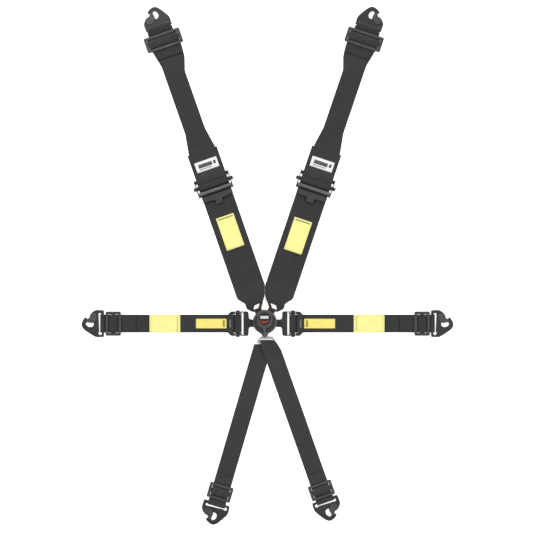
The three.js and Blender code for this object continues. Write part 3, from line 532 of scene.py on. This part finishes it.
def softened(points):
    """A line with its corners rounded and its long runs divided."""
    reach, longest, shortest = 4.0, 5, 0.05
    out = [Vector(points[0])]
    for before, here, after in zip(points, points[1:], points[2:]):
        a, b, c = Vector(before), Vector(here), Vector(after)
        if (b - a).length < 1e-6 or (c - b).length < 1e-6:
            continue
        bend = (b - a).angle(c - b)
        p = b + (a - b).normalized() * min(reach, 0.45 * (a - b).length)
        q = b + (c - b).normalized() * min(reach, 0.45 * (c - b).length)
        steps = max(2, math.ceil(math.degrees(bend) / 12))
        out += [p.lerp(b, i / steps).lerp(b.lerp(q, i / steps), i / steps) for i in range(steps + 1)]
    out.append(Vector(points[-1]))
    fine = [out[0]]
    for point in out[1:]:
        start = fine[-1]
        run = (point - start).length
        if run < shortest:
            continue
        parts = max(1, math.ceil(run / longest))
        fine += [start.lerp(point, i / parts) for i in range(1, parts + 1)]
    return [tuple(p) for p in fine]


# A strip's thickness near its edge: (distance from the edge, share of the full thickness).
EDGE_PROFILE = ((0, 0.3), (0.25, 0.72), (0.7, 0.95), (1.5, 1.0), (2.1, 0.9), (2.8, 1.0))


def mesh_object(name, vertices, faces, weave, material, matrix, smooth=True):
    """An object from points in mm in a belt's frame, with its weave coordinates in mm."""
    mesh = bpy.data.meshes.new(name)
    mesh.from_pydata([matrix @ (Vector(v) * MM) for v in vertices], [], faces)
    held = mesh.attributes.new("weave", "FLOAT_VECTOR", "POINT")
    held.data.foreach_set("vector", [c * MM for w in weave for c in w])
    mesh.materials.append(material)
    for polygon in mesh.polygons:
        polygon.use_smooth = smooth
    made = bpy.data.objects.new(name, mesh)
    bpy.context.scene.collection.objects.link(made)
    return made


def ribbon(name, line, edges, material, matrix, thickness=PLY, columns=14, lift=None, bend=None):
    """A closed woven strip along a line.

    edges(s, z, run) gives its two sides and its slant, where run is the length of cloth so far.
    lift(s, v, run) raises it, and bend(s, v, z) moves it along the belt.
    """
    vertices, faces, weave = [], [], []
    run, last = 0.0, line[0]
    normals = [Vector(p) - Vector(q) for p, q in zip(beside(line, 1), line)]
    for (s, z), normal in zip(line, normals):
        run += math.hypot(s - last[0], z - last[1])
        last = (s, z)
        low, high, slant = edges(s, z, run)
        width = high - low
        inset = [d for d, _ in EDGE_PROFILE if d < width / 3]
        fat = [f for d, f in EDGE_PROFILE if d < width / 3]
        inner = [inset[-1] + (width - 2 * inset[-1]) * i / columns for i in range(1, columns)]
        places = inset + inner + [width - d for d in inset[::-1]]
        thick = fat + [1.0] * len(inner) + fat[::-1]
        rows = []
        for side in (1, -1):
            row = []
            for place, share in zip(places, thick):
                v = low + place
                up = lift(s, v, run) if lift else 0.0
                out = side * share * thickness / 2
                shift = slant * v + (bend(s, v, z) if bend else 0.0)
                row.append((s + shift + normal.x * out, v, z + normal.y * out + up))
            rows.append(row if side > 0 else row[::-1])
        vertices += rows[0] + rows[1]
        marks = [(run, low + p, min(p, width - p)) for p in places]
        weave += marks + marks[::-1]
    ring = len(vertices) // len(line)
    for i in range(len(line) - 1):
        a, b = i * ring, (i + 1) * ring
        faces += [(a + j, a + (j + 1) % ring, b + (j + 1) % ring, b + j) for j in range(ring)]
    half = ring // 2
    for base, flip in ((0, True), ((len(line) - 1) * ring, False)):
        for j in range(half - 1):
            face = (base + j, base + j + 1, base + ring - 2 - j, base + ring - 1 - j)
            faces.append(face[::-1] if flip else face)
    made = mesh_object(name, vertices, faces, weave, material, matrix)
    work = bmesh.new()
    work.from_mesh(made.data)
    bmesh.ops.recalc_face_normals(work, faces=work.faces)
    work.to_mesh(made.data)
    work.free()
    made["run"] = run
    return made


def straight(low, high):
    """A ribbon's edges where its width stays the same."""
    return lambda s, z, run: (low, high, 0.0)


def stepped(table, smooth=True):
    """Values by distance along the belt, joined smoothly or by straight lines."""
    def value(s):
        if s <= table[0][0]:
            return table[0][1]
        for (s0, w0), (s1, w1) in zip(table, table[1:]):
            if s <= s1:
                t = (s - s0) / (s1 - s0)
                return w0 + (w1 - w0) * (smooth_step(t) if smooth else t)
        return table[-1][1]
    return value


class Seam:
    """Stitches along rows, gathered in one mesh. Rows are lists of (s, v).

    A row's height is a number or a function of s and v.
    """

    # One stitch: (share of its length, share of its radius, rise), down into the cloth at both ends.
    PROFILE = ((0.0, 0.25, -0.42), (0.16, 0.85, -0.05), (0.5, 1.0, 0.16), (0.84, 0.85, -0.05),
               (1.0, 0.25, -0.42))
    SIDES = 6

    def __init__(self, name, matrix, material, pitch=3.4, length=2.7, radius=0.36):
        self.name, self.matrix, self.material = name, matrix, material
        self.pitch, self.length, self.radius = pitch, length, radius
        self.vertices, self.faces, self.weave = [], [], []

    def stitch(self, start, way, height):
        side = Vector((-way.y, way.x))
        first = len(self.vertices)
        for share, fat, rise in self.PROFILE:
            centre = start + way * (share * self.length)
            for k in range(self.SIDES):
                angle = 2 * math.pi * k / self.SIDES
                out = self.radius * fat
                point = centre + side * (out * math.cos(angle))
                self.vertices.append((point.x, point.y, height + rise + out * math.sin(angle)))
                self.weave.append((share * self.length, TWIST / 2 * angle / math.pi, 0))
        n = self.SIDES
        for i in range(len(self.PROFILE) - 1):
            a = first + i * n
            self.faces += [(a + k, a + (k + 1) % n, a + n + (k + 1) % n, a + n + k) for k in range(n)]
        self.faces.append(tuple(range(first + n - 1, first - 1, -1)))
        last = first + (len(self.PROFILE) - 1) * n
        self.faces.append(tuple(range(last, last + n)))

    def row(self, points, height):
        for a, b in zip(points, points[1:]):
            a, b = Vector(a), Vector(b)
            run = (b - a).length
            count = max(1, round(run / self.pitch))
            way = (b - a) / run
            for i in range(count):
                start = a + way * ((i + 0.5) * run / count - self.length / 2)
                at = start + way * self.length / 2
                self.stitch(start, way, height(at.x, at.y) if callable(height) else height)

    def across(self, places, half, height):
        """Straight rows across the belt."""
        for s in places:
            self.row([(s, -half), (s, half)], height)

    def border(self, s0, s1, half, height):
        self.row([(s0, -half), (s1, -half), (s1, half), (s0, half), (s0, -half)], height)

    def crossed_box(self, s0, s1, half, height):
        self.border(s0, s1, half, height)
        self.row([(s0, -half), (s1, half)], height)
        self.row([(s0, half), (s1, -half)], height)

    def made(self, body):
        seam = mesh_object(self.name, self.vertices, self.faces, self.weave, self.material,
                           self.matrix)
        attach(seam, body)
        return seam


FINE_STITCH = dict(pitch=2.8, length=2.2, radius=0.24)
BARTACK = dict(pitch=2.2, length=2.1, radius=0.5)


def laid_cloth(made, body, node, seams):
    """Puts a strip of cloth on its body in place of its CAD node."""
    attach(made, body)
    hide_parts(node)


def waviness(amount, start, end, seed):
    """A slight rise and fall of a free stretch of webbing, never below where it lies."""
    fade = 25

    def lift(s, v, run=0.0):
        t = within(min(s - start, end - s) / fade)
        long_wave = noise.noise(Vector((s / 55, v / 60, seed)))
        short_wave = noise.noise(Vector((s / 19, v / 24, seed + 7)))
        wave = long_wave + 0.4 * short_wave
        return amount * smooth_step(t) * (0.5 + 0.5 * within(wave * 1.6, -1.0))
    return lift


def height_on(line, add):
    """The height above a line, at its highest run, by distance along the belt."""
    def height(s):
        best = None
        for (s0, z0), (s1, z1) in zip(line, line[1:]):
            if min(s0, s1) <= s <= max(s0, s1) and abs(s1 - s0) > 1e-6:
                z = z0 + (z1 - z0) * (s - s0) / (s1 - s0)
                best = z if best is None else max(best, z)
        return (best if best is not None else TOP_PLY) + add
    return height


# ---- lap belts --------------------------------------------------------------------------------

def lap_belt(name):
    """The webbing, the small label at its adjuster and the wide pull band round its loose end."""
    belt, matrix, body = BELTS[name], belt_matrix(name), BODY[name]
    shift, tail = belt["shift"], belt["tail"]
    middle = [(tail, MID_PLY), (106 + shift, MID_PLY), (91 + shift, AT_ADJUSTER),
              (LAP_BAR + shift + 9.5, AT_ADJUSTER)]
    upper = beside(middle, -PITCH / 2)[:3]
    lower = beside(middle, PITCH / 2)[1:3][::-1]
    end = before_slide(belt, 37)
    line = [*upper, *lock_loop(LAP_BAR + shift, 1), *lower, *anchor_fold(belt, end)]
    lift = waviness(0.5, 110, before_slide(belt, 18), 3.0 if shift else 11.0)
    strap = ribbon(f"{name}_strap", softened(line), straight(-LAP_HALF, LAP_HALF), WEBBING, matrix,
                   lift=lift)
    seam = Seam(f"{name}_strap_stitching", matrix, BLACK_THREAD)
    seam.across((end + 4, end + 9), 18, lambda s, v: ON_TOP_PLY + lift(s, v))
    laid_cloth(strap, body, f"{name}_webbing",
               [seam.made(body)])

    on_top = beside(middle, -PITCH / 2 - PLY / 2 - GAP - TAPE / 2)
    start, finish = 95 + shift, 172 + 1.2 * shift
    half = 12
    label_line = softened([(finish, on_top[0][1]), on_top[1], (start, on_top[2][1] - 0.8)])
    label = ribbon(f"{name}_tape", label_line, straight(-half, half), DEEP_YELLOW, matrix,
                   thickness=TAPE, columns=8, lift=lift)
    label_top = height_on(label_line, TAPE / 2 + ON_CLOTH)

    def on_label(s, v):
        return label_top(s) + lift(s, v)

    sewn = Seam(f"{name}_tape_stitching", matrix, YELLOW_THREAD, **FINE_STITCH)
    sewn.border(start + 2, finish - 2, half - 1.4, on_label)
    dark = Seam(f"{name}_tape_bartack", matrix, BLACK_THREAD, **BARTACK)
    dark.across([start + 5.5 + 1.3 * i for i in range(4)], half - 3.5, on_label)
    laid_cloth(label, body, f"{name}_label",
               [sewn.made(body), dark.made(body)])

    level = on_top[0][1]
    half = LAP_HALF + 0.5
    band = ribbon(f"{name}_band", softened([(tail - 77, level), (tail, level)]), straight(-half, half),
                  YELLOW, matrix, thickness=TAPE, lift=lift)

    def on_band(s, v):
        return level + TAPE / 2 + ON_CLOTH + lift(s, v)

    sewn = Seam(f"{name}_band_stitching", matrix, YELLOW_THREAD, **FINE_STITCH)
    inner, outer, side = tail - 73.5, tail - 3, 20.4
    sewn.row([(inner, -side), (outer, -side), (outer, side), (inner, side)], on_band)
    sewn.across([tail - 6], side, on_band)
    dark = Seam(f"{name}_band_bartack", matrix, BLACK_THREAD, pitch=2.4, length=2.1, radius=0.36)
    dark.across((tail - 69, tail - 70.6), 19.5, on_band)
    laid_cloth(band, body, f"{name}_pull_band",
               [sewn.made(body), dark.made(body)])


# ---- shoulder belts ---------------------------------------------------------------------------

def shoulder_lower(name):
    """The 3 inch webbing from the tongue to the adjuster, and its yellow label."""
    belt, matrix, body = BELTS[name], belt_matrix(name), BODY[name]
    hand = belt["hand"]
    loop = [(134, FLOOR_PLY), (92, FLOOR_PLY), (70, 5), (58, UNDER_BAR),
            *bar_turn(TONGUE_BAR - GAP - PLY / 2), (62, OVER_BAR), (92, TOP_PLY), (136, TOP_PLY),
            (150, FLOOR_PLY), (182, FLOOR_PLY), (198, TOP_PLY)]
    middle = [(198, MID_PLY), (325, MID_PLY), (340, AT_ADJUSTER), (SHOULDER_BAR - 9.5, AT_ADJUSTER)]
    upper = beside(middle, PITCH / 2)[1:3]
    lower = beside(middle, -PITCH / 2)[1:3][::-1]
    line = softened([*loop, *upper, *lock_loop(SHOULDER_BAR, -1), *lower, (200, FLOOR_PLY)])

    # The gathered end fills the tongue's slot and spreads over it. The two shoulder straps meet on
    # the middle line.
    splay = math.radians(abs(belt["turn"] - 90))
    first = 18.2 if hand > 0 else 20.2
    outer = stepped([(44, 20.3), (52, 20.8), (71, 37.2), (76, SHOULDER_HALF)], smooth=False)
    in_slot = stepped([(45, 11), (47.2, 12.6), (48.4, 14.2), (56, 14.4), (62, 24), (86, 37)],
                      smooth=False)
    out_slot = stepped([(50, 18.7), (56, 18.9), (69, 33), (84, SHOULDER_HALF)], smooth=False)

    def inner(s):
        to_middle = (abs(belt["x"]) + s * math.sin(splay)) / math.cos(splay) - GAP / 2
        return min(first + 0.8 * max(0.0, s - 45.5), to_middle, SHOULDER_HALF)

    def edges(s, z, run):
        if run > LOOP_RUN:
            inside, outside = inner(s), outer(s)
        else:
            inside, outside = in_slot(s), out_slot(s)
        return (-inside, outside, 0.0) if hand > 0 else (-outside, inside, 0.0)

    # The loop sags towards the buckle on its outer side, most where it lies over the tongue.
    in_window = stepped([(-19, -0.6), (2, -1.2), (8, -7.6), (12, -5), (18.5, -1.2), (24, 0.0)])
    on_top = stepped([(-19, -1.6), (3, -2.0), (8.5, -11.2), (13, -11.4), (18, -7.4), (21, -2.6)])

    def bend(s, v, z):
        high = within((z - 9.0) / 1.4)
        shift = in_window(v * hand) * (1 - high) + on_top(v * hand) * high
        return shift * smooth_step(within((60 - s) / 13))

    free = waviness(0.4, 204, 322, 5.0 * hand)

    def lift(s, v, run):
        """Small folds fan out of the slot over the upper ply, up to a step where it is sewn."""
        if s >= 150:
            return free(s, v)
        if run <= LOOP_RUN:
            return 0.0
        t = within((s - 50) / 14) * within((140 - s) / 60)
        fan = v / (2.4 + (s - 50) / 20)
        wander = 1.6 * noise.noise(Vector((s / 26, v / 19, 3.0 * hand)))
        fold = 0.5 + 0.5 * math.sin(fan + wander + 0.6 * hand)
        step = 0.5 - 0.5 * math.tanh((s - 86) / 2.5)
        return 1.25 * t * t * fold + 0.7 * step * t

    strap = ribbon(f"{name}_lower_strap", line, edges, WEBBING, matrix, columns=40, lift=lift,
                   bend=bend)
    seam = Seam(f"{name}_lower_stitching", matrix, BLACK_THREAD)
    seam.crossed_box(101, 132, 30, lambda s, v: ON_TOP_PLY + ON_CLOTH + lift(s, v, 2 * LOOP_RUN))
    laid_cloth(strap, body, f"{name}_lower_webbing",
               [seam.made(body)])

    centre = belt["label"]
    long, half = 42.5, 23
    level = ON_TOP_PLY + GAP + TAPE / 2
    label_line = softened([(centre - long, level), (centre + long, level)])
    label = ribbon(f"{name}_tape", label_line, straight(-half, half), YELLOW, matrix, thickness=TAPE,
                   columns=12, lift=free)

    def on_label(s, v):
        return level + TAPE / 2 + ON_CLOTH + free(s, v)

    sewn = Seam(f"{name}_tape_stitching", matrix, YELLOW_THREAD, **FINE_STITCH)
    sewn.border(centre - long + 2, centre + long - 2, half - 2, on_label)
    dark = Seam(f"{name}_tape_bartack", matrix, BLACK_THREAD, **BARTACK)
    dark.across([centre + 36 + 1.2 * i for i in range(3)], half - 3.5, on_label)
    laid_cloth(label, body, f"{name}_yellow_label",
               [sewn.made(body), dark.made(body)])


def shoulder_upper(name):
    """The webbing from the adjuster to the hook, folded to 2 inches between them, and its patch."""
    belt, matrix, body = BELTS[name], belt_matrix(name), BODY[name]
    hand = belt["hand"]
    over = SLIDE_TOP + GAP + PLY / 2
    under = SLIDE_BOTTOM - GAP - PLY / 2
    loose_end, tail = 451, before_slide(belt, 24)
    edge = UPPER_BAR - GAP - PLY / 2 - PRESSED
    line = [
        (loose_end, FLOOR_PLY), (400, FLOOR_PLY), (UPPER_BAR_END + 2, under),
        (edge + CORNER, under), (edge, under + CORNER), (edge, over - CORNER), (edge + CORNER, over),
        (UPPER_BAR_END + 2, over), (400, TOP_PLY), (453, TOP_PLY), (465, FLOOR_PLY),
        *anchor_fold(belt, tail),
    ]
    # The upper ply leaves the sewn end narrower, is folded to two inches and opens at the slide.
    wide = SHOULDER_HALF + 0.4
    sewn = [(440, SHOULDER_HALF), (448, 34.4), (456, 34), (504, FOLDED_HALF)]
    ends = [(756, wide), (761.5, 32), (belt["hook"] - 1.5, 32), (belt["hook"] + 0.5, 25.2)]
    outer = stepped([*sewn, (683, 26.4), (708, 32.2), (722, 34.8), (728, wide), *ends], smooth=False)
    inner = stepped([*sewn, (655, 25.6), (688, 36.4), (708, 38.4), (728, wide), *ends], smooth=False)
    under_ply = loose_end - edge

    def edges(s, z, run):
        if run < under_ply:
            return -SHOULDER_HALF, SHOULDER_HALF, 0.0
        return (-inner(s), outer(s), 0.0) if hand > 0 else (-outer(s), inner(s), 0.0)

    lift = waviness(0.6, 468, 690, 20.0 * hand)
    strap = ribbon(f"{name}_upper_strap", softened(line), edges, WEBBING, matrix, columns=22, lift=lift)
    seam = Seam(f"{name}_upper_stitching", matrix, BLACK_THREAD)
    seam.across((434, 440, 446), 35, ON_TOP_PLY)
    seam.across([tail + 4], 30, ON_TOP_PLY)
    laid_cloth(strap, body, f"{name}_upper_webbing",
               [seam.made(body)])

    start, finish, half = 401.5, 427.5, 29
    level = ON_TOP_PLY + GAP + TAPE / 2
    surface, ink = level + TAPE / 2, 0.12
    label = ribbon(f"{name}_patch", softened([(start, level), (finish, level)]), straight(-half, half),
                   WHITE, matrix, thickness=TAPE, columns=16)
    edging = Seam(f"{name}_patch_stitching", matrix, WHITE_THREAD, pitch=2.4, length=1.9, radius=0.22)
    edging.border(start + 1.5, finish - 1.5, half - 1.6, surface + 0.02)
    pieces = [edging.made(body)]
    # A plain printed bar, a short rule below it and a spot at its end.
    marks = [("bar", PRINT, (411, 420.5), (-14, 21.5)), ("rule", PALE_PRINT, (406.2, 409), (-11, 21.5)),
             ("spot", PRINT, (412, 420.5), (-24, -17.5))]
    for mark, material, ends, sides in marks:
        on_patch = softened([(s, surface + ink / 3) for s in ends])
        printed = ribbon(f"{name}_patch_{mark}", on_patch, straight(*sides), material, matrix,
                         thickness=ink, columns=4)
        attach(printed, body)
        pieces.append(printed)
    laid_cloth(label, body, f"{name}_white_label", pieces)


# ---- crotch belts -----------------------------------------------------------------------------

def crotch_strap(name, line, edges, lift, box=None):
    """A crotch belt's strap, sewn at its tail and with a crossed box at the ring if it has one."""
    belt, matrix, body = BELTS[name], belt_matrix(name), BODY[name]
    strap = ribbon(f"{name}_strap", line, edges, CROTCH_WEBBING, matrix, columns=18, lift=lift)
    seam = Seam(f"{name}_stitching", matrix, BLACK_THREAD)
    if box:
        seam.crossed_box(*box)
    seam.across([before_slide(belt, CROTCH_TAIL) + 4], 18, ON_TOP_PLY)
    laid_cloth(strap, body, f"{name}_webbing",
               [seam.made(body)])


def ring_skew(belt):
    """The slant that turns the cloth's end square to the ring's bar."""
    return stepped([(6, -1 / math.tan(math.radians(belt["turn"]))), (46, 0.0)])


def right_crotch():
    """The upper belt of the pair: its end turns round the ring's bar and is sewn down over the left."""
    belt = BELTS["right_crotch"]
    bar = (RING_BAR + GAP + PLY / 2 - belt["y"]) / math.sin(math.radians(belt["turn"]))
    line = softened([
        (bar + 14, UNDER_BAR), *bar_turn(bar), (9, OVER_BAR), (40, TOP_PLY), (72, TOP_PLY),
        (86, FLOOR_PLY), *anchor_fold(belt, before_slide(belt, CROTCH_TAIL)),
    ])
    left = stepped([(bar, 19.4), (20, LAP_HALF)])
    right = stepped([(bar + 0.5, 12.4), (bar + 4, 17), (9, 20), (24, LAP_HALF)])
    skew = ring_skew(belt)

    def edges(s, z, run):
        in_ring = z < OVER_BAR - 0.2 and run < 22
        return -left(s), 9.5 if in_ring else right(s), skew(s)

    leg_top = height_on(line, PLY / 2 + ON_CLOTH)

    def on_leg(s, v):
        along = s
        for _ in range(4):
            along = s - skew(along) * v
        return leg_top(along)

    lift = waviness(0.6, 88, before_slide(belt, 18), 31.0)
    crotch_strap("right_crotch", line, edges, lift,
                 box=(14, 38, 15, on_leg))


def left_crotch():
    """The lower belt of the pair: its end is sewn under the right one."""
    belt = BELTS["left_crotch"]
    sewn = UNDER_BAR - PITCH
    line = softened([(4, sewn), (10, sewn), (40, FLOOR_PLY),
                     *anchor_fold(belt, before_slide(belt, CROTCH_TAIL))])
    skew = ring_skew(belt)
    lift = waviness(0.6, 96, before_slide(belt, 18), 43.0)
    crotch_strap("left_crotch", line, lambda s, z, run: (-LAP_HALF, LAP_HALF, skew(s)), lift)


# ---- the dial's printed disc ------------------------------------------------------------------

def dial_print():
    """A plain white bar and a red crescent on the dark disc."""
    disc_top, ink = 28.2, 0.16
    red = print_material("red_print", (0.34, 0.03, 0.04, 1), (0.27, 0.02, 0.03, 1))
    white = print_material("white_print", grey(0.74), grey(0.62))
    matrix = Matrix.Identity(4)
    level = disc_top + ink / 2
    bar = ribbon("cam_dial_bar", softened([(-11.5, level), (9.5, level)]), straight(8.0, 14.8), white,
                 matrix, thickness=ink, columns=4)

    middle, half, tips, steps = -1, 13.5, 4.4, 32
    outer_dip, inner_dip = 8.2, 2.6
    outer, inner = [], []
    for i in range(steps + 1):
        x = middle - half + 2 * half * i / steps
        share = 1 - ((x - middle) / half) ** 2
        outer.append((x, tips - outer_dip * share))
        inner.append((x, tips - inner_dip * share))
    flat = [*outer, *inner[-2:0:-1]]
    count = len(flat)
    vertices = [(x, y, z) for z in (disc_top, disc_top + ink) for x, y in flat]
    faces = [tuple(range(count))[::-1], tuple(range(count, 2 * count))]
    faces += [(i, (i + 1) % count, count + (i + 1) % count, count + i) for i in range(count)]
    crescent = mesh_object("cam_dial_arc", vertices, faces, [(0, 0, 1)] * len(vertices), red, matrix,
                           smooth=False)
    for piece in (bar, crescent):
        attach(piece, "dial")


# ---- the object -------------------------------------------------------------------------------

for lap in ("left_lap", "right_lap"):
    lap_belt(lap)
for shoulder in ("left_shoulder", "right_shoulder"):
    shoulder_lower(shoulder)
    shoulder_upper(shoulder)
right_crotch()
left_crotch()
dial_print()

SOFT_ENDS = ("_webbing", "_label", "_pull_band")
# Bevel widths by the end of a node's name.
BEVELS = {"hook_keeper": 0.35, "slide": 0.9, "hook": 0.9, "tongue": 0.7, "ring": 0.9, "lock_bar": 0.7,
          "cam_dial": 0.6, "frame": 0.5, "": 0.4}
for node in sorted(frame["nodes"]):
    if node == "buckle_return_spring":
        wire = frame["nodes"][node].data
        wire.materials.clear()
        wire.materials.append(STEELS["bright_steel"])
    elif node == "cam_dial_label" or not node.endswith(SOFT_ENDS):
        finished(node, next(width for end, width in BEVELS.items() if node.endswith(end)))


# ---- the set, in metres -----------------------------------------------------------------------

MIDDLE = Vector((0, 0.14, 0))


def floor():
    """A pale floor, large enough to reach the horizon, just under the harness."""
    reach, drop = 40, 0.0008
    g = Graph("floor", roughness=0.9, Emission_Color=(1, 1, 1, 1), Emission_Strength=0.8)
    clouds = g.noise(2.5, detail=3)
    g.set(Base_Color=g.mix(g.ramp(clouds, 0.3, 0.7), grey(0.93), grey(0.96)))
    mesh = bpy.data.meshes.new("floor")
    corners = [(-reach, -reach, 0), (reach, -reach, 0), (reach, reach, 0), (-reach, reach, 0)]
    mesh.from_pydata(corners, [], [(0, 1, 2, 3)])
    mesh.materials.append(g.material)
    made = bpy.data.objects.new("floor", mesh)
    made.location.z = -drop
    bpy.context.scene.collection.objects.link(made)


def softbox(name, place, size, power):
    """A soft rectangular light that points at the middle of the harness."""
    light = bpy.data.lights.new(name, "AREA")
    light.shape = "RECTANGLE"
    light.size, light.size_y = size
    light.energy = power
    made = bpy.data.objects.new(name, light)
    made.location = place
    made.rotation_euler = (MIDDLE - Vector(place)).to_track_quat("-Z", "Y").to_euler()
    bpy.context.scene.collection.objects.link(made)


floor()
softbox("key", (-2.2, 2.0, 2.6), (1.8, 1.8), 70)
softbox("fill", (2.4, -1.2, 2.2), (2.0, 2.0), 38)
softbox("top", (0.6, 2.9, 1.2), (2.4, 0.8), 22)

world = bpy.data.worlds.new("studio")
world.use_nodes = True
sky = world.node_tree.nodes["Background"]
sky.inputs["Color"].default_value = (1, 1, 1, 1)
sky.inputs["Strength"].default_value = 0.55
bpy.context.scene.world = world
bpy.context.scene.view_settings.view_transform = "Standard"

EYE_HEIGHT = 3.5
SEEN_WIDTH = 1.3325            # of the floor, across the picture
lens = bpy.data.cameras.new("camera")
eye = bpy.data.objects.new("camera", lens)
bpy.context.scene.collection.objects.link(eye)
eye.location = (0.00425, 0.1375, EYE_HEIGHT)
lens.lens = lens.sensor_width * EYE_HEIGHT / SEEN_WIDTH
lens.clip_end = 50
bpy.context.scene.camera = eye

bpy.context.view_layer.update()
